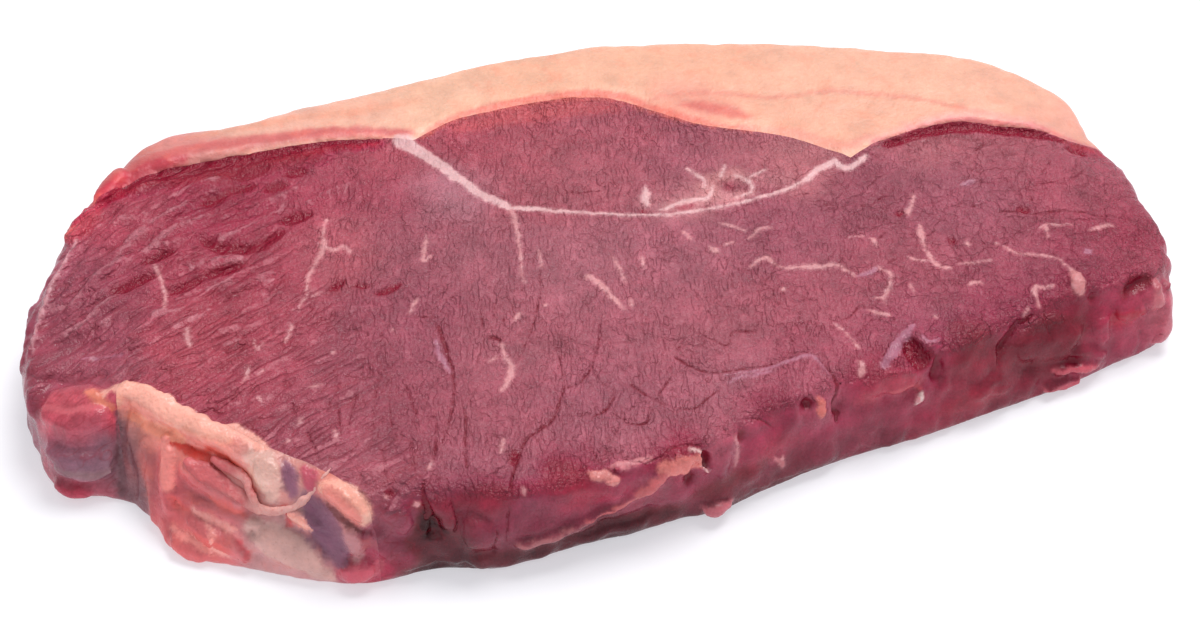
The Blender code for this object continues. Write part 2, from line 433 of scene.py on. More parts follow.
bm = bmesh.new()
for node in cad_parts.values():
    bm.from_mesh(node.data)
skin = object_from("skin", bm)
mesh = remeshed(skin, COARSE)
smooth(mesh, COARSE_PASSES)
print("coarse skin:", len(mesh.polygons), "faces")

# %% Lay a route on the skin
ROUTE_STEP = 0.5
WANDER = 0.16
WANDER_SIZE = 1.9
DROP_HEIGHT = 60.0
DOWN = Vector((0.0, 0.0, -1.0))


def skin_tree(mesh):
    """The skin in mm, ready for finding its nearest place."""
    corners = [vert.co / MM for vert in mesh.vertices]
    return BVHTree.FromPolygons(corners, [face.vertices[:] for face in mesh.polygons])


def with_heights(points, tree):
    """The points of one mark: all two numbers, or all three where some are on the side."""
    if all(len(point) == 2 for point in points):
        return points
    full = []
    for point in points:
        if len(point) == 2:
            hit = tree.ray_cast(Vector((*point, DROP_HEIGHT)), DOWN)[0]
            point = (*point, hit.z)
        full.append(point)
    return full


def laid(points, tree, wander=WANDER):
    """A route through the points, in mm, put down on the skin, and the skin's own direction there."""
    points = np.array(with_heights(points, tree), float)
    route = smooth_route(points, ROUTE_STEP)
    if len(route) > 2:
        spread = np.pad(route, ((0, 0), (0, 3 - route.shape[1])))
        route[:, 0] += wander * noise_at(spread, WANDER_SIZE, 5)
        route[:, 1] += wander * noise_at(spread, WANDER_SIZE, 6)
    if points.shape[1] == 2:
        hits = [tree.ray_cast(Vector((x, y, DROP_HEIGHT)), DOWN) for x, y in route]
    else:
        hits = [tree.find_nearest(Vector(place)) for place in route]
    hits = [hit for hit in hits if hit[0] is not None]
    return np.array([hit[0] for hit in hits]), np.array([hit[1] for hit in hits])


tree = skin_tree(mesh)
print("routes can be laid on", len(mesh.polygons), "faces")

# %% [markdown]
# ## Lobes, rolls and slits
#
# What sticks out or hangs over can't be made by pushing a skin in and out, so it is modelled as a
# body of its own before the fine remesh. Each lobe is a flattened tube laid along a route on the
# skin and joined to it; each slit is a round tube cut out of it. The fine remesh melts them in.

# %% What is added
# (lift, thickness, width or widths, points)
LOBES = [
    # the peach roll along the top of the corner fat, and the pale block at its end
    (
        0.5, 3.0, (3.0, 5.4, 5.6, 5.4, 5.0, 4.6, 4.4), (-99, -25.4, 18.6), (-95.6, -24.6, 20.2),
        (-90.4, -28.2, 21), (-86, -32.2, 20.4), (-81, -36.6, 20.4), (-76, -40.4, 20.4), (-71, -44, 20.2),
    ),
    (0.4, 2.6, 5.6, (-70, -45.6, 20), (-68.6, -49.2, 17)),
    # pink tissue under it, fold over fold
    (
        0.4, 1.6, (2.0, 3.2, 3.0, 2.2), (-88.4, -34.6, 18), (-88.6, -38.6, 14.6), (-89, -41.4, 10),
        (-88, -44.6, 6),
    ),
    (
        0.5, 2.0, (2.6, 4.6, 4.6, 3.0), (-86, -40.6, 16), (-82, -43.6, 14.6), (-78, -46.8, 13.2),
        (-74.6, -49.8, 12),
    ),
    (
        0.4, 1.6, (1.6, 2.6, 2.6, 1.6), (-84.6, -45.4, 10.6), (-80, -48.4, 10), (-75.6, -51.4, 9.6),
        (-72.4, -53, 10),
    ),
    (
        0.4, 1.8, (2.0, 3.2, 3.4, 2.0), (-86, -47.6, 7), (-81.6, -50.4, 5.6), (-77, -53.2, 4.2),
        (-74, -55, 2.6),
    ),
    (0.3, 2.4, (3.0, 4.6, 3.0), (-89, -47.6, 3), (-86, -50, 2.2), (-82, -51.8, 1.6)),
    (0.3, 1.6, (1.4, 2.6, 1.6), (-77.6, -50, 7.6), (-75, -52.6, 7), (-73.6, -54.4, 4.6)),
    # the small fat bit, the fat bit with a hook, the strip under it and the red foot
    (
        0.5, 1.6, (1.4, 2.4, 2.0, 1.0), (-66.8, -54.2, 13.8), (-64.6, -55.2, 13.4), (-62.6, -56, 12.8),
        (-60.8, -57, 12.6),
    ),
    (
        0.6, 2.4, (1.6, 2.8, 3.8, 3.6, 1.8), (-60, -54, 20.2), (-57.4, -55.4, 20), (-54.8, -57.4, 19),
        (-53.2, -58.8, 17.4), (-52.4, -59.4, 15.4),
    ),
    (
        0.3, 1.6, (2.0, 3.4, 3.0, 2.0), (-55.6, -59.4, 14.6), (-54.8, -60.4, 12), (-54.2, -61, 9.4),
        (-54, -61.4, 7.6),
    ),
    (0.5, 3.0, (3.6, 5.6, 4.0), (-57, -61.6, 3.4), (-54.2, -62, 4.6), (-51, -61.8, 5)),
    (
        0.2, 2.2, (4.0, 8.0, 8.0, 4.0), (-73.6, -54.4, 7.4), (-69, -56, 6.8), (-64, -57.8, 6),
        (-59.4, -60, 4.6),
    ),
    # films on the dark side left of the corner
    (
        0.3, 1.4, (1.4, 2.6, 2.2, 1.6), (-94.6, -29, 16.6), (-93.6, -33, 12), (-93.6, -36.6, 7),
        (-94.4, -38, 3),
    ),
    (0.3, 1.4, (1.4, 2.4, 2.2, 1.4), (-91.4, -32, 15), (-90.6, -36.6, 10), (-90.8, -40, 5), (-91, -42, 2)),
    # the knob: its top slab, its grey bulges and its red foot
    (
        0.2, 2.6, (3.0, 5.0, 5.4, 4.0), (-111.2, -22.6, 14.8), (-107, -26.4, 15.8), (-102.4, -28, 16.6),
        (-98.6, -27.2, 17.4),
    ),
    (
        0.5, 2.2, (4.0, 7.0, 7.0, 4.0), (-110.6, -21, 16), (-106.4, -22, 17), (-102.6, -23, 18),
        (-99.4, -23.6, 18.8),
    ),
    (
        0.3, 2.2, (3.0, 4.6, 4.4, 3.0), (-111, -28, 10.6), (-106.6, -31.4, 10.4), (-102.4, -32, 10),
        (-98.8, -31.6, 10.6),
    ),
    (
        0.5, 1.8, (1.4, 2.2, 2.0, 1.4), (-110, -30.4, 8), (-106, -32.6, 7.2), (-101.6, -33, 7),
        (-98.8, -33, 8.4),
    ),
    (0.1, 2.2, (2.6, 4.0, 3.2), (-110, -30.4, 3.4), (-107, -32.6, 2.8), (-103.4, -33.4, 2.4)),
    (0.0, 1.8, (2.4, 3.6, 2.8), (-111.4, -15.6, 16), (-112.4, -18.4, 14.8), (-112.8, -20.6, 12)),
    # thin edges of film round the left end
    (
        0.3, 1.3, (0.8, 1.6, 1.6, 1.2, 0.8), (-113, -7, 15.6), (-111, 1, 16.4), (-109, 7.6, 17),
        (-106, 14.4, 17.4), (-102.6, 21, 18),
    ),
    (0.3, 1.6, (1.4, 2.4, 2.0), (-114.6, -9, 12), (-113.6, 0, 12.6), (-111, 8, 13.6)),
    (0.4, 2.6, (3.0, 5.0, 4.0), (-104.6, 21, 17), (-101.6, 25.6, 17.6), (-98.6, 29, 18)),
    (0.4, 2.6, (3.0, 4.6, 3.6), (-98, 30.6, 17.8), (-95.4, 34.4, 18.4), (-92, 37.6, 19.4)),
    # round the dark notch of the front side
    (0.3, 2.0, (2.4, 3.6, 3.0), (-38.6, -58.8, 18.8), (-37.4, -60, 16), (-36, -60.6, 13.4)),
    (0.3, 2.2, (3.0, 4.4, 3.0), (-48.6, -58.8, 17.4), (-45.6, -60, 15.6), (-44.6, -60.8, 12)),
    (0.3, 1.6, (2.0, 3.0, 2.0), (-51, -60.6, 13), (-49.6, -61, 9.6), (-48.6, -61.6, 6.4)),
    (0.2, 2.0, (3.0, 6.0, 5.0), (-33, -60.6, 15.4), (-30.4, -61.6, 12), (-31, -62.4, 8)),
    # the streak of fat: its square head, its white edge and its tail
    (0.5, 2.6, (3.6, 4.8, 4.6), (5.6, -55.8, 18), (9, -55.2, 18), (11, -55, 17.6)),
    (
        0.6, 1.2, (1.0, 1.2, 1.0, 0.8), (10.6, -54, 19.6), (12.2, -54.4, 18), (12.8, -55, 15.8),
        (14.4, -55.4, 13.6),
    ),
    (
        0.4, 1.8, (3.0, 3.2, 2.6, 1.8, 1.6, 1.6, 2.4, 3.0, 1.8), (5, -56.4, 17), (1, -57.6, 14.4),
        (-3, -58.8, 12), (-7, -59.8, 10.8), (-10.6, -60.4, 10.4), (-14, -61, 9.4), (-17.4, -61.6, 8.4),
        (-21, -62, 8), (-24, -62.4, 8),
    ),
    (0.4, 1.4, (1.0, 2.4, 1.2), (-9.4, -58, 20.6), (-7, -58.4, 20.2), (-4.6, -58.8, 19)),
    (
        0.4, 1.3, (0.8, 1.6, 1.6, 1.0), (-5, -56.8, 20.8), (-2, -56.8, 20.6), (0.6, -56.2, 20.6),
        (2.6, -55.6, 20.6),
    ),
    (0.4, 2.2, (2.0, 3.2, 2.0), (13.4, -55.8, 4), (16, -55.4, 4), (19, -54.8, 3.8)),
    (0.3, 1.8, (2.4, 3.4, 2.0), (17, -53, 17.4), (16.6, -53.6, 14), (17, -54, 10.6)),
    # orange and red lumps towards the right
    (0.4, 1.8, (1.6, 2.8, 1.8), (37, -43.2, 18.8), (37.6, -44.2, 17.4), (37.8, -44.8, 15.4)),
    (0.3, 2.2, (3.0, 5.6, 5.6, 4.0), (47, -40.8, 17), (51, -39.8, 17.4), (55, -39.2, 16.8), (58, -39, 15.6)),
    (0.5, 1.0, (0.8, 1.4, 0.8), (58.8, -39.6, 13.2), (58.2, -40.2, 11.8), (57.6, -40.6, 10.4)),
    (
        0.4, 1.2, (1.0, 1.8, 1.6, 1.0), (57.4, -30.6, 21.2), (59.6, -33, 21), (61.4, -34.2, 20.6),
        (63.4, -33, 20.6),
    ),
    (0.3, 1.0, (1.2, 1.8, 1.4), (56.6, -31, 21.2), (53.8, -34.2, 21), (51.4, -37.4, 20.4)),
    (0.2, 2.4, (5.0, 10.0, 9.0, 5.0), (79, -32, 13), (84, -30.4, 13.4), (89, -29, 13.4), (93, -28, 13)),
    (
        0.4, 2.0, (1.6, 2.8, 2.4, 1.6), (87.6, -31.4, 6.4), (91, -30.6, 5.8), (94.4, -29.6, 4.8),
        (97, -28.8, 3.8),
    ),
    (0.4, 1.8, (1.2, 2.2, 2.2, 1.4), (90.6, -30, 8.6), (94, -29, 8), (97, -28, 6.8), (99.4, -27.6, 5)),
    (0.3, 2.0, (2.0, 2.8, 2.0), (85.6, -33, 3), (89.4, -32.2, 2.2), (94, -30.8, 1.8)),
    (0.3, 2.2, (3.0, 5.0, 3.4), (70, -37, 8), (74, -35.8, 8), (77.4, -34.8, 7)),
    (0.4, 1.8, (2.4, 3.4, 2.2), (92.8, -19.4, 21), (93.2, -21.4, 20.8), (93.4, -23, 19.8)),
    (0.3, 1.2, (1.6, 2.4, 1.6), (84.6, -21, 21), (84, -23.4, 21), (83.4, -25.6, 20.6)),
    (0.5, 2.8, (3.2, 4.6, 3.6), (110.2, -19.6, 16.2), (110.2, -20.8, 14.4), (110, -21.8, 12)),
    (0.4, 2.2, (2.4, 4.0, 3.2), (101.4, -24.4, 14), (104.4, -23.8, 13), (107, -23.2, 12)),
    (
        0.4, 2.0, (3.0, 4.4, 4.0, 2.4), (112.2, -17.6, 14), (112.8, -19.4, 10), (112, -21.6, 6),
        (110.8, -22.6, 3),
    ),
    (0.3, 1.8, (2.4, 3.6, 2.4), (98, -26, 15), (98.4, -26.6, 11), (98.6, -27, 8.4)),
]

# %% What is carved
# (lift, radius or radii, points)
SLITS = [
    # under the peach roll, and between the pink folds
    (
        0.0, (0.4, 1.0, 1.1, 1.1, 0.9, 0.7), (-87.6, -36.4, 18.4), (-84, -38.6, 18.2), (-80, -41.2, 18),
        (-76.6, -43.6, 17.8), (-74, -46.4, 17.4), (-73, -49.2, 15.6),
    ),
    (0.2, (0.4, 0.8, 0.6), (-67, -46, 20.4), (-66.2, -49, 18.4), (-65.8, -51.6, 16.4)),
    (0.2, (0.5, 1.0, 0.5), (-88.6, -42.4, 9.6), (-87, -43.8, 8.4), (-85.4, -45, 8)),
    (0.2, (0.5, 1.1, 0.5), (-80.4, -46.6, 12.2), (-77.6, -48.4, 11.6), (-74.8, -50.4, 11)),
    (0.2, (0.4, 0.9, 0.4), (-84.4, -49.8, 6), (-81, -51.2, 5), (-78.4, -52.6, 4.4)),
    (0.3, (0.4, 0.9, 0.6), (-76.6, -52.4, 6.2), (-75.4, -53.4, 4.6), (-74.8, -54.6, 3)),
    (0.2, (0.4, 0.9, 0.5), (-67.8, -53.4, 14.8), (-67.4, -54.6, 12.8), (-66.6, -55.4, 11.8)),
    (0.4, (0.5, 0.9, 0.9, 0.5), (-59, -56.4, 17.6), (-56.6, -58, 16.4), (-54.6, -59.6, 15), (-53, -60.2, 14)),
    (0.6, (0.8, 1.0, 0.8), (-58, -61.2, 7.4), (-55, -61.6, 8), (-51.4, -61.8, 8.2)),
    # round the knob
    (
        0.4, (0.6, 1.2, 1.2, 0.8), (-113.2, -14, 14.6), (-109.6, -15.4, 17), (-105.6, -17.4, 17.8),
        (-101.4, -18.8, 18.6),
    ),
    (0.3, (0.5, 0.9, 0.7), (-114, -21.6, 13), (-111.4, -20.4, 16), (-109, -18.6, 17)),
    (
        0.8, (1.0, 1.6, 1.6, 1.2), (-111, -26.6, 12.8), (-106.4, -30.4, 13), (-102, -31, 13.4),
        (-98.6, -30.6, 13.8),
    ),
    (
        0.2, (0.6, 1.1, 1.4, 1.4, 1.2), (-97.2, -26, 18), (-97.4, -28.6, 15), (-97.6, -31, 11),
        (-97.8, -33, 7), (-98, -34.6, 2),
    ),
    (0.6, (0.8, 1.2, 0.8), (-110.4, -31, 6), (-106, -33.4, 5.2), (-101, -34, 5)),
    (0.3, (0.4, 0.7, 0.5), (-92.4, -30.6, 16.4), (-92, -34.6, 11), (-92.4, -38.6, 6)),
    # the dark notch and the cracks of the front side
    (
        -0.7, (0.4, 0.7, 0.8, 1.2, 1.0, 0.5), (-41, -57.4, 20), (-40.8, -58.8, 18), (-40.2, -59.8, 15.8),
        (-39.6, -60.4, 13), (-40.2, -60.8, 11), (-41.2, -61.2, 8.4),
    ),
    (
        -0.5, (0.4, 0.9, 1.1, 0.5), (-42.8, -59.2, 12.4), (-41, -60.4, 13), (-38.6, -60.6, 12),
        (-36.8, -60.8, 12.8),
    ),
    (-0.3, (0.4, 0.8, 0.4), (-39.6, -60.4, 12.4), (-38, -60.8, 10.4), (-37.4, -61, 8.8)),
    (0.3, (0.4, 0.7, 0.4), (-28.2, -61.6, 14), (-28.4, -62.4, 10), (-28.8, -62.6, 6)),
    (0.6, (0.8, 1.4, 1.4, 0.8), (-33.4, -62.6, 5), (-30.6, -62.6, 5.6), (-28.4, -62.8, 6), (-26, -62.8, 6)),
    (
        1.0, (0.8, 2.0, 2.4, 2.4, 1.2), (-18, -61.6, 4.6), (-13, -60.8, 5.6), (-6, -59.6, 6.4),
        (1, -58, 6.6), (8, -56.6, 6.4),
    ),
    (0.2, (0.6, 1.1, 0.7), (10.8, -55.8, 15.4), (10.2, -56.2, 13.4), (8.8, -56.4, 11.6)),
    (0.1, (0.6, 1.1, 0.9), (13, -53.6, 19.4), (13.4, -54.2, 17), (13.6, -54.8, 14.8)),
    (0.4, (0.6, 1.1, 0.8), (21.4, -49.6, 19.4), (21.8, -50.4, 17.4), (21.6, -51, 15)),
    (0.2, (0.6, 1.2, 0.7), (34.2, -43, 19.8), (34.8, -44.2, 18), (34.8, -45.2, 15.8)),
    (
        0.1, (0.5, 1.0, 1.5, 1.6, 0.9), (40.4, -38.2, 21), (41.8, -40.8, 19.8), (42.2, -42.2, 17.4),
        (41.8, -43.2, 15), (41.2, -43.8, 12.6),
    ),
    (0.0, (0.9, 1.4, 1.5, 1.0), (56.2, -32.8, 21.2), (57, -34.8, 20.8), (58.4, -36.2, 19.8), (60.4, -37, 18)),
    (
        0.1, (0.6, 1.2, 1.4, 0.8), (62.4, -35.2, 19.8), (62.8, -36.6, 17.8), (62.8, -37.6, 15),
        (62.4, -38.2, 12),
    ),
    (
        0.0, (0.4, 0.9, 1.2, 1.1, 0.6), (83.4, -27.2, 19.4), (80.4, -29.2, 18.4), (78, -30.8, 17),
        (76.4, -32, 15), (75.4, -33.6, 12),
    ),
    (0.2, (0.5, 0.9, 0.5), (88.6, -30.6, 8), (91.4, -30, 7.2), (94.6, -29.2, 6.4)),
    (0.1, (0.5, 1.0, 0.5), (96, -23, 19), (96.4, -23.8, 17.6), (96.6, -24.6, 16)),
    (
        0.1, (0.6, 1.3, 1.3, 0.8), (103.2, -22.4, 16.8), (105.2, -21.6, 16.6), (107, -20.4, 16.8),
        (108.2, -18.8, 17.2),
    ),
    (0.2, (0.5, 0.9, 0.6), (108.4, -22.4, 14.6), (109, -23.2, 10), (108.6, -23.8, 6)),
    # the foot, drawn in under the side
    (1.2, (1.2, 2.4, 2.4, 1.4), (-49, -62.4, 1), (-42, -62.4, 1), (-34, -63, 1), (-26, -63, 1)),
    (1.0, (1.2, 2.0, 2.0, 1.2), (16, -55, 1), (26, -51.6, 1), (36, -47, 1), (46, -44, 1)),
    (1.0, (1.0, 1.6, 1.0), (77.6, -35.2, 5), (79, -35, 3), (80, -35, 1)),
    (1.0, (1.0, 1.6, 1.0), (96.6, -28.4, 1.6), (102, -26.6, 1.4), (108, -24.4, 1.4)),
]
RING = 12
FINE = 0.7
FINE_PASSES = 4
SLIT_VOXEL = 0.4
ROUTE_SHAKE = 0.5
BLUNT = 0.1  # how wide a tube starts, as a share
NEIGHBOURS = 3


def tube(bm, route, outward, widths, thickness):
    """Adds a closed body along a route to a bmesh, rounded at both ends."""
    widths = np.atleast_1d(widths).astype(float)
    ahead = np.gradient(route, axis=0)
    ahead /= np.linalg.norm(ahead, axis=1, keepdims=True)
    across = np.cross(outward, ahead)
    across /= np.linalg.norm(across, axis=1, keepdims=True)
    outward = np.cross(ahead, across)
    steps = np.linalg.norm(np.diff(route, axis=0), axis=1)
    along = np.concatenate(((0.0,), steps.cumsum()))
    width = np.interp(along / along[-1], np.linspace(0.0, 1.0, len(widths)), widths)
    end = np.clip(np.minimum(along, along[-1] - along) / (0.5 * width) + BLUNT, 0.0, 1.0)
    round_off = np.sqrt(1.0 - (1.0 - end) ** 2)
    turn = np.linspace(0.0, math.tau, RING, endpoint=False)
    rings = []
    for place, side, out, half, scale in zip(route, across, outward, width / 2.0, round_off):
        deep = half if thickness is None else min(thickness / 2.0, half)
        wheel = np.outer(np.cos(turn) * half, side) + np.outer(np.sin(turn) * deep, out)
        rings.append([bm.verts.new(corner * MM) for corner in place + scale * wheel])
    for first, second in zip(rings, rings[1:]):
        for k in range(RING):
            bm.faces.new((first[k - 1], first[k], second[k], second[k - 1]))
    bm.faces.new(rings[0])
    bm.faces.new(rings[-1][::-1])
    return rings


def soft_directions(outward):
    """The skin's directions along a route, each the mean of its neighbours."""
    return np.array([
        outward[max(0, k - NEIGHBOURS) : k + NEIGHBOURS + 1].mean(0) for k in range(len(outward))
    ])


def lay_tubes(bm, rows, tree):
    """Adds each row's closed body to a bmesh."""
    for lift, thickness, widths, *points in rows:
        route, outward = laid(points, tree, ROUTE_SHAKE)
        outward = soft_directions(outward)
        tube(bm, route + lift * outward, outward, widths, thickness)
    bmesh.ops.recalc_face_normals(bm, faces=bm.faces[:])


def cut_with(obj, cutter, operation):
    """The object's mesh after a Boolean with a cutter, which is then removed."""
    cut = obj.modifiers.new("cut", "BOOLEAN")
    cut.operation = operation
    cut.solver = "MANIFOLD"
    cut.object = cutter
    mesh = settled(obj)
    bpy.data.objects.remove(cutter)
    return mesh


lobes = bmesh.new()
lobes.from_mesh(mesh)
lay_tubes(lobes, LOBES, tree)
lobes.to_mesh(mesh)
lobes.free()

slits = bmesh.new()
round_slits = [(lift, None, 2.0 * np.array(radii), *points) for lift, radii, *points in SLITS]
lay_tubes(slits, round_slits, tree)
cutter = object_from("cutter", slits)
remeshed(cutter, SLIT_VOXEL)
cut_with(skin, cutter, "DIFFERENCE")
mesh = remeshed(skin, FINE)
smooth(mesh, FINE_PASSES)
print("fine skin:", len(mesh.polygons), "faces,", len(LOBES), "lobes,", len(SLITS), "slits")

# %% [markdown]
# ## A flat foot
#
# The steak lies on its lower cut face. The rounded underside is cut off just above the floor and
# filled with large triangles, because nothing shows there and the fine ones are wanted on top.

# %% Cut and fill the flat foot
FOOT_CUT = 0.25
FOOT_GRID = 4.0

bm = bmesh.new()
bm.from_mesh(mesh)
whole = bm.verts[:] + bm.edges[:] + bm.faces[:]
bmesh.ops.bisect_plane(
    bm, geom=whole, plane_co=(0.0, 0.0, FOOT_CUT * MM), plane_no=(0.0, 0.0, 1.0), clear_inner=True
)
rim_edges = [edge for edge in bm.edges if edge.is_boundary]
rim = [rim_edges[0].verts[0]]
edge = rim_edges[0]
while True:
    ahead = edge.other_vert(rim[-1])
    if ahead is rim[0]:
        break
    rim.append(ahead)
    edge = next(e for e in ahead.link_edges if e.is_boundary and e is not edge)
print("foot's rim:", len(rim), "of", len(rim_edges), "edges")

loop = np.array([vert.co.xy for vert in rim]) / MM
low, high = loop.min(0), loop.max(0)
grid = [
    (x, y)
    for x in np.arange(low[0], high[0], FOOT_GRID)
    for y in np.arange(low[1], high[1], FOOT_GRID)
    if np.hypot(*(loop - (x, y)).T).min() > FOOT_GRID * 0.5
]
flat = [Vector(p) for p in loop] + [Vector(p) for p in grid]
round_trip = [(i, (i + 1) % len(loop)) for i in range(len(loop))]
corners, _, faces, sources, *_ = delaunay_2d_cdt(flat, round_trip, [], 1, 1e-6)
made = {}
for index, place in enumerate(corners):
    source = sources[index][0] if sources[index] else -1
    made[index] = rim[source] if 0 <= source < len(rim) else bm.verts.new((*place * MM, 0.0))
for face in faces:
    bm.faces.new([made[k] for k in face])
for vert in rim:
    vert.co.z = 0.0
bmesh.ops.recalc_face_normals(bm, faces=bm.faces[:])
bm.to_mesh(mesh)
open_edges = sum(not edge.is_manifold for edge in bm.edges)
bm.free()
mesh.update()
print("skin:", len(mesh.polygons), "faces,", open_edges, "open edges")

# %% [markdown]
# ## Marks on the meat
#
# A cut face carries many thin marks, and each is written as a half width in mm and the points it
# runs through. Two numbers are a place seen from above, three a place on the side. A tuple of
# half widths lets a mark swell and thin along its way. Every mark later does two things: it shapes
# the surface, and it tells the finish where the line is.

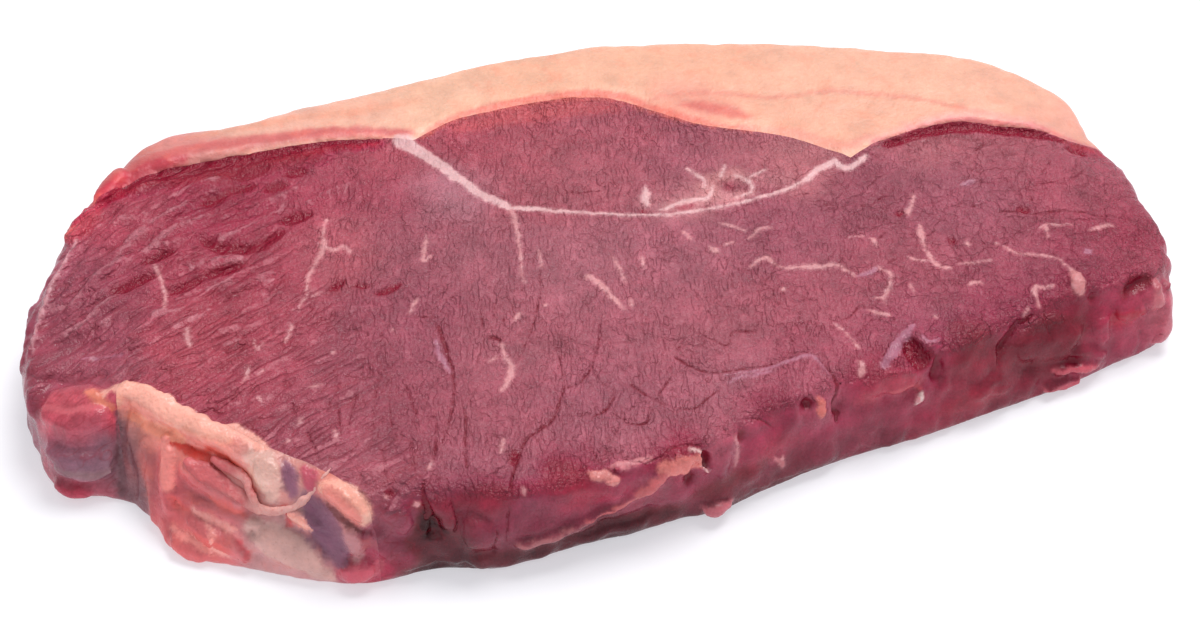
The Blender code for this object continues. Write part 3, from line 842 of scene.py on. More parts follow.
# %% Cracks between the bundles of fibres
CRACKS = [
    (0.3, (-12, -3), (-12.3, -7), (-12.7, -10.5), (-14.5, -16.4), (-16, -20.5), (-19.5, -28)),
    (0.2, (-14.8, -18), (-16.5, -20), (-18.3, -20.8)),
    (0.25, (-21.2, -10.2), (-22.2, -13.4), (-22.7, -17.2)),
    (0.25, (-24.2, -10.7), (-24.9, -13.9), (-24.7, -18.3)),
    ((0.5, 0.9, 0.5), (-24.4, -20.5), (-23.2, -20.7), (-22, -21.5)),
    (0.2, (-21, -19.5), (-20.3, -13)),
    (0.35, (-11, -15.5), (-9, -16.6), (-7.7, -16.5)),
    (0.25, (-11.4, -24.3), (-11.1, -30.5), (-11.1, -35.4)),
    (
        (0.35, 0.5, 0.6, 0.7, 0.5, 0.55, 0.6),
        (-11.1, -35.4), (-12.8, -39.8), (-14.7, -43.8), (-17.4, -46), (-20.2, -48.2),
        (-21.9, -51.2), (-22.9, -53.8), (-24, -57, 21), (-24.6, -59, 20),
    ),
    (
        (0.3, 0.4, 0.4, 0.35),
        (-2.1, -20), (-3, -24.6), (-4.5, -29), (-5.8, -32.1), (-7.9, -34.7), (-10.7, -36.2),
    ),
    (0.22, (-5.3, -32.4), (-4.3, -35), (-2.9, -36.8)),
    ((0.3, 0.8, 0.6, 0.35, 0.3), (-6.9, -44), (-6, -43.8), (-4.8, -43.3), (-2.8, -40.8), (-1.7, -38.1)),
    (0.2, (-11, -43.4), (-9, -43.2), (-6.9, -44)),
    (
        (0.7, 0.9, 0.5, 0.35, 0.4, 0.3),
        (-33.4, -16.1), (-32.8, -21.9), (-32.1, -28), (-32.3, -32.6), (-33.3, -38.3),
        (-34.6, -43.2), (-36, -47),
    ),
    ((0.3, 0.5, 0.45, 0.5), (-31.1, -39), (-31.2, -42.8), (-31.9, -47.9), (-32.2, -53.5)),
    (0.35, (-36.6, -40.6), (-37.1, -45.6), (-37.8, -49.3), (-38.6, -51.5)),
    (0.25, (-38.5, -40), (-36.5, -40.3)),
    (0.5, (-41.3, -31.4), (-40.8, -35.2), (-40.2, -39.4)),
    (0.3, (-37.8, -13), (-34, -13.7)),
    ((0.5, 0.6, 0.5, 0.4), (11.1, -30.3), (12.9, -32.5), (14.3, -33.6), (16.1, -34.9), (18.3, -35.6)),
    (
        (0.45, 0.35, 0.3, 0.35),
        (18.3, -35.6), (21.1, -35.8), (24.4, -35.6), (27.3, -35.4), (30, -34.9), (32.4, -33.9),
        (34.7, -33.2),
    ),
    ((0.3, 0.45, 0.45, 0.3), (18, -40.3), (16, -41.8), (13.7, -43.7), (12.1, -44.3), (10.2, -43.8)),
    (0.2, (10.2, -43.8), (8.6, -43.3), (6.8, -42.2), (5.5, -41)),
    ((0.3, 0.4, 0.45, 0.4), (5.5, -41), (4, -39.9), (2.7, -38.1), (1.5, -36.4)),
    (0.3, (9.9, -33), (9.2, -35.7), (7.9, -38), (6.4, -39.8)),
    (0.28, (15.1, -23.5), (17.2, -25.5), (19.5, -27.4), (21.6, -28.7), (22.7, -26.5)),
    ((0.3, 0.55, 0.5), (22.7, -26.5), (23.5, -25.3), (25.6, -25.6), (27.5, -25.6)),
    (0.25, (14.1, -25.1), (12.3, -28), (11.1, -30.3)),
    (0.15, (21.5, -30.3), (21.2, -34.4)),
    (0.2, (-0.9, -25.4), (2.3, -25.2), (4.9, -25)),
    (0.2, (9.6, -24.5), (9.5, -28.7)),
    ((0.2, 0.4, 0.4, 0.2), (-0.8, -44.5), (-0.8, -46.3), (1, -47.2), (3, -47), (3.8, -45), (4.2, -43)),
    (0.25, (-1.6, -47.2), (-3.3, -48.8), (-4.4, -51.3), (-5.2, -49.9)),
    (0.18, (-3.3, -43.7), (-1.6, -45.3)),
    (0.3, (-8.6, -51.8), (-7.4, -55.1), (-6.6, -57.2), (-5.1, -58.5)),
    ((0.25, 0.35, 0.35, 0.3), (-3.9, -53), (-2.5, -55.4), (0.2, -56.9), (2.4, -56.3), (5, -55.2)),
    ((0.3, 0.6, 0.5), (5, -55.2), (7.1, -53.7), (10.4, -53.3), (12.5, -53.4)),
    (0.2, (-7, -55.4), (-4.5, -53.8)),
    (0.2, (-6.3, -53), (-4.6, -53.6)),
    (0.18, (1.3, -52), (2, -51), (4.3, -50.6)),
    (0.22, (15.2, -49.8), (17.2, -49.9), (18.3, -51.1)),
    (0.35, (22.2, -47.9), (24.7, -47.6), (27.6, -47.5)),
    (0.2, (41.1, 10.7), (44.9, 10.4)),
    (0.3, (54.6, 5.2), (57, 5.6), (58.9, 7.1), (61.5, 7.4)),
    (0.3, (56.4, -4.5), (58.3, -2.6)),
    (0.3, (62, -3.5), (64, -4)),
    (0.35, (66.7, 4.3), (69.2, 4.4), (71.4, 5.2)),
    (0.28, (74.8, 3.5), (77.7, 2.4)),
    (
        (0.3, 0.5, 0.4, 0.4, 0.3),
        (82, 0), (85.2, -0.2), (89.8, -1.5), (93, -1.5), (96.2, -1.8), (100, -2.3), (103.3, -2.9),
    ),
    (0.2, (74.7, -7.5), (79.4, -8.7)),
    (0.3, (65.1, -22), (67.1, -22.6)),
    (0.25, (36.8, -16.1), (38.9, -18), (41.3, -19.1)),
    (0.25, (44, -25.4), (46.7, -24.2), (49.3, -21.7)),
    (0.2, (47.2, -29.5), (49, -27.7), (51.1, -25.6)),
    (0.25, (56.9, -11.4), (58.7, -10.2)),
    (
        (0.3, 0.5, 0.8, 1.1, 0.8),
        (38.5, -34.5), (39.7, -37), (41, -39.5, 20), (41.5, -41, 19), (41.8, -42.2, 17),
        (41.5, -43.2, 14.5), (41.2, -44, 12),
    ),
    (0.3, (75.3, 7.7), (78.6, 9), (82.8, 8.3), (86.4, 8.9)),
    (0.45, (80.4, 17.7), (83.4, 19.9), (84.8, 20.9)),
    (0.25, (92.9, 9.8), (95.4, 12.8)),
    (0.3, (89.7, 5.9), (92.9, 6.7), (96.3, 6.5), (98.8, 7.6), (101, 9.6)),
    (0.3, (89.4, 5), (89.2, 2)),
    (0.3, (82.5, -11), (85.3, -13.6), (88, -14.2)),
    (0.3, (-64, -23.8), (-64.6, -28)),
    (0.4, (-63.4, -32.5), (-63.2, -36.6)),
    (0.4, (-61.4, -40.2), (-60.4, -44.6), (-59.7, -48.6)),
    (0.25, (-54.7, -27.7), (-54.9, -34.1), (-55, -43.6)),
    (0.25, (-50.7, -31.5), (-51.9, -34.9), (-53.1, -38.9), (-53.6, -42.4)),
    (0.22, (-46.5, -28.7), (-47.5, -33.3), (-48.6, -38.6), (-48.8, -42.3)),
    (0.22, (-45.3, -35.3), (-45.2, -39.8), (-44.8, -44)),
    (0.3, (-47.5, -47.7), (-47.4, -51.3), (-47.7, -54.4)),
    (0.4, (-41.7, -45.5), (-42.2, -50.2), (-42, -53)),
    (0.35, (-5, 18), (-1, 17.6), (3, 17.5)),
    (
        (0.5, 0.9, 1.2, 1.5, 0.9), (-40.6, -55.5), (-41, -58, 19), (-40.5, -59, 17.5), (-40, -60, 15),
        (-39.6, -60.5, 12.5),
    ),
    (
        (0.4, 1.0, 1.2, 0.8, 0.4),
        (83, -27.5, 19), (80, -29.5, 18.5), (78, -30.5, 17), (76.5, -31.5, 15.5), (75.5, -33, 13.5),
        (75.3, -33.5, 12),
    ),
    ((0.4, 0.6, 0.4), (-28, -62.5, 12.5), (-28.4, -63, 9), (-28.5, -63, 6)),
    ((0.3, 0.5, 0.3), (-35.8, -59, 18), (-35.5, -60, 15.5), (-35.5, -60.5, 12)),
    (0.4, (-25, -60.5, 18), (-25.6, -61.5, 14), (-26, -62, 9)),
    (0.35, (85.4, -25.3, 19.8), (85.4, -27.2, 17.5), (86, -28.5, 14)),
]

# %% Hollows: wet dips, tinted deep red as painted shade
HOLLOWS = [
    (
        (1.2, 2.2, 2.4, 2.2, 1.4, 0.5, 0.4), (-92, 33), (-88, 34.6), (-78, 35.4), (-69, 36.6),
        (-60, 38.2), (-50, 39), (-40, 38.6),
    ),
    (1.8, (-70, 32.2), (-63, 33.8)),
    (1.3, (-59.4, 31.2), (-55.6, 32.2)),
    (1.2, (-64, 27.2), (-60, 28.6)),
    (1.3, (-72.4, 27.6), (-66, 29.4)),
    (1.2, (-77, 25), (-71.6, 27)),
    (1.5, (-61.4, 17.8), (-55.6, 19.4)),
    (1.5, (-77.6, 14.6), (-74.6, 12.6), (-70.4, 11.4), (-66.4, 11)),
    (1.3, (-67.4, 10.4), (-64, 13), (-61.4, 15)),
    (1.3, (-77.6, 4.8), (-70.4, 7)),
    (1.2, (-84.6, 0.8), (-78.6, 4)),
    (1.4, (-89.4, 10), (-83.6, 12.4)),
    (1.3, (-96, 3.8), (-88, 6)),
    (0.8, (-53.4, -3.2), (-50.8, -0.9)),
    (0.6, (-48.6, -2.6), (-46, -3)),
    (0.8, (-44.6, -5.3), (-42.2, -4.6), (-39.8, -3.2)),
    (1.1, (70.6, -6.4), (71.3, -6.8)),
    (0.8, (61.6, 2.3), (62.6, 2.6)),
    (0.8, (86, 0.2), (88, 0)),
    (0.6, (10.7, 10.6), (11.2, 10.4)),
    ((1.2, 2.2, 2.0, 1.0), (56.6, -32.4), (57.4, -34), (58.2, -36), (60.5, -36.6, 20)),
    (0.8, (62.5, -35.8, 19), (62.6, -36.8, 16.5), (62.6, -37.4, 14)),
    ((0.7, 1.0, 1.1, 0.9, 0.5), (63.5, 22.3), (74, 24.9), (82, 25), (90, 22.8), (99, 20)),
    (0.9, (100, 17.6), (104, 16.4)),
    (1.0, (13.2, -53.8, 18.5), (13.4, -54.2, 15.5)),
    (0.9, (21, -49.9, 19), (21.3, -50.4, 17)),
    (0.9, (34.6, -43.2, 19), (35.2, -43.8, 17)),
    (0.8, (-22.5, -50.5), (-23.5, -53.5)),
    (0.9, (-47.8, -57, 20.2), (-46.6, -57.4, 20)),
    (1.3, (104.5, -21.5, 17), (106, -20.6, 17.4), (107.4, -19.4, 17.2)),
    (0.7, (96, -23.2, 18.6), (96.3, -23.8, 17.6)),
    (0.9, (90, -30, 7.5), (92.5, -29.6, 6.5)),
    (0.8, (10.2, -56, 14.5), (10, -56.2, 12)),
    (0.7, (-52.5, -60, 13.2), (-51.6, -60.2, 12.6)),
]

# %% Marbling: threads of fat within the muscle
MARBLING = [
    (
        (0.3, 0.35, 0.9, 0.7, 0.5, 0.4, 0.3), (-52.5, 17), (-53.6, 12.9), (-53.9, 9), (-55.6, 5),
        (-57.1, 1.8), (-58, -1.6), (-58.3, -4.5),
    ),
    ((0.8, 0.6, 0.6, 0.4), (-53.9, 9), (-51.9, 7.7), (-50, 8.4), (-48.6, 6.9)),
    (0.4, (-58.5, -4.8), (-60, -7.5)),
    (0.35, (-57.2, -5), (-55.4, -4)),
    (0.4, (-61.8, -11.6), (-62.3, -13.6), (-63.7, -16.2)),
    (0.5, (-33.1, 9.4), (-33.7, 6), (-34.4, 2.1), (-32.8, 3.3)),
    (0.45, (-36.6, -8.1), (-37.6, -9.4), (-38.7, -12)),
    (0.5, (-71.2, -21.8), (-71.5, -24), (-72.6, -26.3)),
    (0.3, (-69.3, -24.7), (-68.3, -23)),
    (0.35, (-69.7, -15), (-69.1, -17.8), (-67.9, -16.5)),
    ((0.5, 0.75, 0.4), (-82.2, -9.6), (-82.3, -12), (-82, -14.5)),
    (0.35, (-59.7, -29), (-57.5, -28.5)),
    (0.6, (-54.7, -20.4), (-54.4, -20.8)),
    (0.45, (-63, -38.7), (-61.8, -37)),
    (0.5, (-69.7, -31), (-69.5, -31.4)),
    (0.6, (-42.6, -16), (-42.2, -16.2)),
    (0.4, (-38.7, -51), (-39.4, -53.3)),
    (0.55, (-56.3, -41), (-55.8, -43.5)),
    (0.8, (-65.2, -42.2), (-64.8, -43)),
    ((0.5, 0.35, 0.6, 0.3), (-87.3, 8), (-86.4, 3.4), (-86, -0.5), (-86.4, -4)),
    ((0.9, 0.7, 0.4, 0.3), (-15.3, 15), (-15, 9), (-15, 3), (-15.2, -1)),
    (0.35, (-15.2, -1), (-15.5, -4), (-15.3, -6.6)),
    (0.3, (-11.4, 2), (-11.2, -0.5), (-11.3, -3)),
    ((0.7, 0.9, 0.8, 0.6, 0.3), (-2.7, -6.7), (-1.4, -7.6), (0.2, -10.5), (1.5, -13), (3, -16.3)),
    (0.4, (3, -2), (3.6, -4.7), (4.6, -9.6)),
    (0.6, (4.7, -13.8), (5, -15.8)),
    (0.45, (8.7, -2.8), (8.8, -5.6)),
    ((0.3, 0.5, 0.9, 0.8, 0.4), (-21.9, -22.9), (-21.6, -26), (-20.8, -29), (-21.5, -32), (-23.4, -35)),
    (0.35, (-23.1, -26), (-25, -27.4)),
    (0.6, (-24.5, -47.5), (-25.4, -50.7)),
    (0.6, (-17.3, -14.7), (-18.4, -16.9)),
    (0.5, (-12, -13.2), (-12.3, -13.8)),
    (0.5, (17.8, 3.4), (19.2, 1)),
    (0.9, (22.8, -1.8), (24, -3.6)),
    (0.4, (25.6, -1.6), (27.6, -0.8)),
    (0.5, (30.6, -0.8), (33.4, 1.8), (35.6, 1.8)),
    (0.35, (25.6, 4.8), (30.6, 1.8)),
    (0.6, (29.8, -8.2), (31.9, -6.7), (33.6, -6.1), (34.3, -7.7), (35.2, -9.1)),
    (
        (0.3, 0.5, 0.75, 0.75, 0.6, 0.4, 0.3),
        (35.2, -9.1), (37.5, -9.7), (40, -9.9), (44.2, -10.3), (46.8, -10.2), (48.1, -11.9),
        (49.7, -13.4),
    ),
    (
        (0.4, 0.4, 0.45, 0.5, 0.35), (55, -11.9), (55.7, -13.1), (57, -14.4), (56.3, -16.8),
        (55.2, -18.9), (54.1, -20.1),
    ),
    (0.3, (52.2, -20), (54.1, -20.1), (54.5, -21.6)),
    (0.5, (51.1, -23.1), (52.7, -24.3), (54.6, -25.2)),
    ((0.25, 0.4, 0.8), (65.7, 7.3), (65.1, 4.9), (63.7, 2.2)),
    (
        (0.5, 0.95, 0.4, 0.4, 0.55, 0.6, 0.45),
        (65.4, -1.7), (65.1, -4), (65, -5.7), (65.1, -7.9), (65.5, -10.2), (66, -12.1),
        (67.2, -13.4), (68.9, -14.1),
    ),
    (0.35, (61.3, -10.2), (63, -11.5), (65.2, -11.8)),
    (0.45, (71.5, -19.3), (72.9, -18.5), (74.6, -18.9)),
    (0.3, (60.3, -17.5), (60.6, -19.4)),
    (0.18, (50.7, -3), (53.5, -3.3)),
    (0.4, (54.9, -3.9), (55.7, -6.5)),
    (0.9, (73.5, -8), (74, -8)),
    (0.6, (79.3, -8.6), (79.8, -8.8)),
    (0.6, (63.3, -26.4), (63.6, -26.9)),
    (0.22, (43.6, -25.6), (45, -28), (46.6, -32.5)),
    (0.6, (46.6, -32.2), (46.9, -33)),
    (0.6, (34.9, -15.2), (35.4, -15.7)),
    ((0.3, 0.8, 0.7), (46.4, -36.6), (46.8, -38), (46.2, -39.2, 20)),
    (0.3, (70.9, -13), (74, -13.2), (77.7, -13)),
    (
        (0.25, 0.35, 0.35, 0.3), (81.1, -9.7), (82.8, -11.8), (85.6, -12.9), (88.4, -13.5), (90.8, -14.8),
        (91.8, -16.8), (92.9, -18.4),
    ),
    (0.4, (90.5, -4.9), (90.2, -6.8), (90, -8.8)),
    (0.25, (89, -6), (90.5, -4.9), (92.8, -5.2), (95.5, -5.6)),
    (0.5, (99.3, -6.9), (101.7, -5.9), (103.6, -5), (104.6, -5.7)),
    ((0.35, 0.5, 0.8, 0.7, 0.4), (88.3, -21.7), (86, -22), (84.4, -22.4), (84, -24.5), (84.3, -26)),
    (0.5, (82.1, -26.4), (81.4, -28.6, 20)),
    (1.2, (92.9, -20.6), (93.1, -22.6, 20)),
    (0.25, (20, -51, 18), (20.2, -51.6, 15), (20, -52, 12.5)),
    (0.9, (58.2, -39.8, 12.4), (57.8, -40.1, 10.8)),
    (0.8, (-42.6, -58.2, 18.2), (-42.4, -58.6, 17.4)),
    (0.5, (-48.4, -57.6, 19.8), (-47.8, -57.8, 19.3)),
    (0.5, (-22.3, -59.3, 20), (-22.2, -60, 18.8)),
    (0.9, (29.4, -49, 9), (29, -49.3, 7.6)),
]

# %% Seams of connective tissue and the marbled corner beside the fat
SEAMS = [
    ((1.7, 1.5, 1.2, 1.0, 0.9), (-35.4, 37.4), (-31.2, 33.2), (-25.6, 26.2), (-20.4, 19.6), (-15.6, 14.9)),
    (
        (0.8, 0.5, 0.42, 0.42, 0.42, 0.5, 0.9),
        (-15.6, 14.9), (-10, 13.9), (-1.4, 11.6), (11.6, 8.8), (21, 8.9), (30.6, 9.8), (38, 11.4),
        (44, 13.8), (48, 16.8), (51, 18.6),
    ),
    ((0.3, 0.6, 0.5, 0.3), (14.6, 10.2), (20, 12), (24.6, 12.6), (26, 15.4)),
    ((0.3, 0.5, 0.3), (24.4, 15), (24.2, 18), (21.6, 21.4)),
    (0.35, (28, 17.8), (29.6, 21.4)),
    ((0.4, 0.5, 0.4, 0.3), (31, 17.6), (33.6, 15.6), (33.4, 12.6), (30, 11.4)),
    (0.3, (33.6, 16.6), (37.6, 18.6)),
    ((0.4, 1.0, 0.3), (11.8, 11.6), (12, 13.4), (12.5, 17)),
    ((0.7, 0.8, 0.8, 0.5), (51.6, 18.8), (53.6, 16.6), (55.6, 17.2), (58.5, 19.4)),
]

# %% Silverskin, the bluish film on a muscle
SILVER = [
    (
        0.45, (20, -36.8), (25, -36.5), (30, -35.8), (33, -34.5), (36, -33.4), (38, -34.1), (39.2, -37),
        (40.3, -39.6),
    ),
    (0.35, (20.3, -39), (21.8, -37.8), (25, -37.5), (29.6, -36.9)),
    ((0.5, 1.1, 1.3, 1.2, 0.8), (58.6, -28.6), (56.3, -31.4), (54.2, -34.2), (52.4, -36.4), (51, -38)),
    (0.5, (59.8, -31.4), (60.2, -33.2), (61.8, -33.6), (63, -32.8)),
    (0.6, (50.7, -13.6), (53, -13.4), (55, -11.9)),
    (0.6, (-34.4, -20), (-34.2, -24), (-32.6, -28.6)),
    (0.6, (76, 8.6), (79, 9.6)),
    (1.2, (97, -12.6), (97.6, -13.6)),
    (0.3, (-103, -12.5), (-99, -13.2), (-95, -14)),
]

# %% Ridges where the meat's folds catch the light
RIDGES = [
    ((0.8, 1.2, 1.3, 1.0), (-105, 2), (-101, 6.6), (-96, 11.5), (-91, 17.4), (-85, 22.2), (-80, 24.6)),
    (1.1, (-105, -5.5), (-100, -1.6), (-95.6, 2)),
    (0.9, (-98.6, -4.4), (-94.4, -3.2)),
    (0.8, (-91, -3.2), (-85.4, -5.6), (-78.4, -4.6)),
    (0.8, (-90, 12.6), (-85, 16.6), (-79.4, 19.6), (-73, 21.2)),
    (0.9, (-80.6, 7.8), (-75.6, 9), (-69.6, 8)),
    (0.8, (-79.4, 17), (-72.6, 15.4), (-67.6, 17.4), (-60, 21.6)),
    (0.7, (-88, -9), (-83.6, -7.4), (-77, -7)),
    (0.8, (-73.6, -1.4), (-67, 1.6), (-62, 5)),
    (0.7, (-78.4, 0.4), (-71.6, 1.2)),
    (0.7, (-75.5, -16.2), (-73, -15.2), (-70.3, -14.6)),
    (0.6, (-70, 22.6), (-63, 24.4), (-57, 27.4)),
    (0.6, (-82, 28.6), (-76, 30.4), (-71, 31.6)),
    (0.6, (-56, 22.4), (-51, 25), (-46.6, 26.6)),
    (0.7, (-66.6, -4), (-61.6, -2.4)),
]

# %% Patches: places of another colour with a clear edge
# (colour, half width or half widths, points)
PATCHES = [
    # the peach roll, the orange under it, and the pale block
    (
        (248, 180, 164), (1.0, 1.9, 2.3, 2.3, 2.2, 2.0, 1.8), (-99, -24.6, 18.8), (-95.6, -24, 20.4),
        (-90.6, -27.2, 21), (-86, -31.6, 20.6), (-81, -36, 20.6), (-76, -39.8, 20.6),
        (-71.6, -43.2, 20.4),
    ),
    (
        (240, 152, 128), (0.6, 1.4, 1.5, 1.0), (-95, -28.4, 18), (-92, -30.6, 17.6), (-88.6, -33.6, 17.8),
        (-85, -36.4, 18.2),
    ),
    (
        (204, 70, 54), (0.3, 0.8, 0.9, 0.8, 0.7, 0.5), (-87.6, -36.6, 18.2), (-84, -39, 17.8),
        (-80, -41.6, 17.6), (-76.6, -44, 17.4), (-74, -46.8, 17), (-73, -49.2, 15.4),
    ),
    (
        (220, 178, 166), (1.6, 2.4, 2.2, 1.4), (-72, -44.6, 20.2), (-69.8, -46.4, 20), (-69, -48.6, 18),
        (-69.4, -50.6, 15.4),
    ),
    ((152, 104, 122), (0.7, 1.2, 1.0), (-66, -47, 20.4), (-65, -49.4, 18.8), (-64.6, -51.6, 17)),
    ((196, 88, 108), (0.8, 1.4, 1.0), (-62.6, -49.6, 21), (-61.6, -51.2, 20), (-61.6, -52.6, 19)),
    # pink folds and the red between them
    ((236, 146, 138), (1.0, 1.6, 1.2), (-88.4, -35, 18), (-88.4, -38.6, 15), (-88.6, -41.4, 11)),
    ((206, 104, 100), (0.3, 0.7, 0.5), (-88.6, -42.6, 9.6), (-87, -44, 8.4), (-85.4, -45.2, 7.8)),
    ((208, 106, 100), (0.3, 0.7, 0.6), (-80.4, -46.8, 12), (-77.6, -48.6, 11.4), (-74.8, -50.6, 10.8)),
    ((206, 104, 100), (0.3, 0.7, 0.5), (-84.4, -50, 5.8), (-81, -51.4, 4.8), (-78.4, -52.8, 4.2)),
    ((186, 84, 88), (0.3, 0.7, 0.4), (-76.4, -52.8, 6), (-75.4, -53.6, 4.6), (-75, -54.6, 3)),
    ((236, 158, 150), (0.4, 0.8, 0.4), (-84, -46.6, 9), (-80, -49.4, 8), (-76.6, -51.6, 8)),
    ((238, 150, 142), (0.4, 0.9, 0.5), (-88.6, -46.6, 4.6), (-85.4, -49.4, 3.4), (-82, -51.4, 2.8)),
    ((240, 160, 150), (0.3, 0.6, 0.3), (-82, -48.8, 6.6), (-80.4, -50.8, 4.6), (-78, -53.2, 3)),
    # grey fat, film over muscle and what hangs beside it
    (
        (200, 160, 152), (1.6, 3.4, 3.4, 2.4, 1.4), (-74, -53.6, 9.4), (-70, -55.4, 8.4),
        (-65.6, -57, 6.6), (-62.6, -59, 4.6), (-60, -61, 2),
    ),
    (
        (126, 88, 104), (1.4, 2.8, 3.2, 2.6, 1.4), (-62.8, -54, 17.4), (-60.6, -56, 14.8), (-59, -58, 12),
        (-57.8, -59.6, 9), (-57.8, -61, 6.4),
    ),
    ((166, 138, 156), 0.3, (-62, -54.6, 16.4), (-60.6, -57, 12.6), (-59.6, -59, 9)),
    ((162, 134, 152), 0.25, (-59.6, -55.6, 16.2), (-58.6, -58, 12.6), (-57.8, -59.8, 9)),
    (
        (244, 164, 150), (0.5, 1.1, 0.9, 0.4), (-66.6, -54.4, 13.8), (-64.6, -55.2, 13.4),
        (-62.6, -56, 12.8), (-61, -56.8, 12.6),
    ),
    ((190, 72, 72), (0.3, 0.6, 0.4), (-67.8, -53.6, 14.6), (-67.4, -54.8, 12.8), (-66.8, -55.6, 11.8)),
    (
        (244, 176, 158), (0.7, 1.3, 1.7, 1.5, 0.8), (-60, -54, 20.4), (-57.4, -55.4, 20),
        (-54.8, -57.4, 19.2), (-53.2, -58.8, 17.4), (-52.6, -59.4, 15.8),
    ),
    # painted shade in the gap under the fat bit with a hook
    (
        (104, 48, 60), (0.4, 0.8, 0.8, 0.5), (-59, -56.6, 17.4), (-56.8, -58.2, 16), (-55, -59.6, 14.6),
        (-52.6, -60.4, 13),
    ),
    (
        (186, 132, 134), (0.6, 1.1, 1.0, 0.7), (-54.8, -59.6, 14.4), (-55, -60.4, 12), (-54.4, -61, 9.4),
        (-54.6, -61.6, 7.4),
    ),
    ((186, 96, 106), (1.0, 1.8, 1.4), (-57, -61.6, 3.4), (-54.2, -62, 4.6), (-51, -61.8, 5)),
    # the knob
    (
        (214, 112, 120), (0.4, 0.9, 1.0, 0.6), (-111, -22.6, 15.4), (-107, -25.6, 16.6),
        (-103, -26.8, 17), (-99.4, -26.6, 17.8),
    ),
    ((230, 138, 118), (0.6, 1.1, 0.8), (-102, -23, 18.4), (-100, -24.6, 18.6), (-98.4, -26, 18.2)),
    (
        (160, 126, 130), (0.4, 0.8, 0.7, 0.4), (-110, -30.4, 8.4), (-106, -32.4, 7.6), (-101.6, -33, 7.2),
        (-98.8, -32.8, 8.4),
    ),
    # painted shade in the crease between the knob and the corner fat
    (
        (124, 90, 94), (0.3, 0.6, 0.8, 0.9, 0.8), (-97.2, -26.6, 17.4), (-97.4, -28.6, 15),
        (-97.6, -31, 11), (-97.8, -33, 7), (-98, -34.6, 2),
    ),
    (
        (214, 158, 164), (0.2, 0.5, 0.5, 0.4, 0.2), (-113, -7, 15.8), (-111, 1, 16.6), (-109, 7.6, 17.2),
        (-106, 14.4, 17.6), (-102.6, 21, 18.2),
    ),
    # the streak of fat across the front side, and smaller bits
    ((226, 136, 128), (1.6, 2.3, 2.2), (5.6, -55.8, 18), (9, -55.2, 18), (11, -55, 17.8)),
    (
        (246, 206, 200), (0.3, 0.5, 0.45, 0.3), (10.6, -54, 19.6), (12.2, -54.4, 18), (12.8, -55, 15.8),
        (14.4, -55.4, 13.6),
    ),
    (
        (206, 114, 114), (1.3, 1.2, 0.8, 0.5, 0.3), (5, -56.4, 17), (1, -57.6, 14.4), (-3, -58.8, 12),
        (-7, -59.8, 10.8), (-10.6, -60.4, 10.4),
    ),
    (
        (178, 112, 114), (0.3, 0.4, 0.6, 0.8, 0.4), (-9.6, -60.3, 10.5), (-14, -61, 9.4),
        (-17.4, -61.6, 8.4), (-21, -62, 8), (-24, -62.4, 8),
    ),
    ((222, 144, 138), (0.5, 1.3, 0.6), (-9.4, -58, 20.6), (-7, -58.4, 20.2), (-4.6, -58.8, 19)),
    (
        (214, 140, 144), (0.4, 0.8, 0.8, 0.4), (-5, -56.8, 20.8), (-2, -56.8, 20.6), (0.6, -56.2, 20.6),
        (2.6, -55.6, 20.6),
    ),
    ((206, 122, 130), (0.8, 1.6, 1.0), (13.4, -55.8, 4), (16, -55.4, 4), (19, -54.8, 3.8)),
    ((206, 138, 142), (0.3, 0.5, 0.3), (19.6, -51, 18.6), (20.2, -52, 15), (20, -52.6, 12)),
    ((226, 128, 118), (0.6, 1.3, 0.9), (37.2, -43.4, 18.6), (37.6, -44.2, 17.4), (37.8, -44.8, 15.6)),
    ((236, 206, 200), (0.4, 0.75, 0.4), (58.8, -39.6, 13.2), (58.2, -40.2, 11.8), (57.6, -40.6, 10.4)),
    ((206, 130, 134), (0.4, 0.8, 0.4), (28, -49.4, 9.4), (29.4, -49.4, 8), (30, -49.6, 6.6)),
    ((190, 92, 100), (0.7, 1.2, 0.7), (52, -39.8, 16), (56, -39.4, 15.4), (58.4, -39.2, 14)),
    (
        (206, 104, 114), (0.5, 0.8, 0.7, 0.5), (87.6, -31.4, 6.4), (91, -30.6, 5.8), (94.4, -29.6, 4.8),
        (97, -28.8, 3.8),
    ),
    ((200, 104, 114), (0.7, 1.0, 0.7), (85.6, -33, 2.6), (89.4, -32.2, 2), (94, -30.8, 1.6)),
    ((196, 116, 122), (1.2, 1.7, 1.2), (110.2, -19.8, 16), (110.2, -20.8, 14.6), (110, -21.6, 12.4)),
    ((174, 62, 78), (0.5, 1.0, 0.7), (101.4, -24.4, 13.6), (104.4, -23.8, 12.8), (107, -23.2, 11.8)),
    (
        (196, 118, 128), (0.8, 1.4, 1.2, 0.8), (112.4, -17.6, 13.6), (113, -19.4, 10), (112, -21.6, 6),
        (110.8, -22.6, 3),
    ),
    ((222, 150, 150), (0.8, 1.5, 0.9), (92.8, -19.4, 21), (93.2, -21.4, 20.8), (93.4, -23, 19.8)),
]
print("marks:", sum(map(len, (CRACKS, HOLLOWS, MARBLING, SEAMS, SILVER, RIDGES, PATCHES))))

# %% [markdown]
# ## Measuring the marks
#
# Each route is laid on the skin first: a place seen from above is dropped on to it, and a place on
# the side goes to the nearest point. After that the distance from a vertex to the route is a
# distance along the skin, on the top and the side alike. What is kept is the depth inside the
# mark: its half width less that distance. It is above zero inside, and its zero line stays sharp
# even on a coarse mesh.

# %% Lay and measure
FARTHEST = 3.0
TAPER = (0.35, 0.9, 1.0, 0.9, 0.35)
NO_LENGTH = 1e-9
PLAIN = 200.0


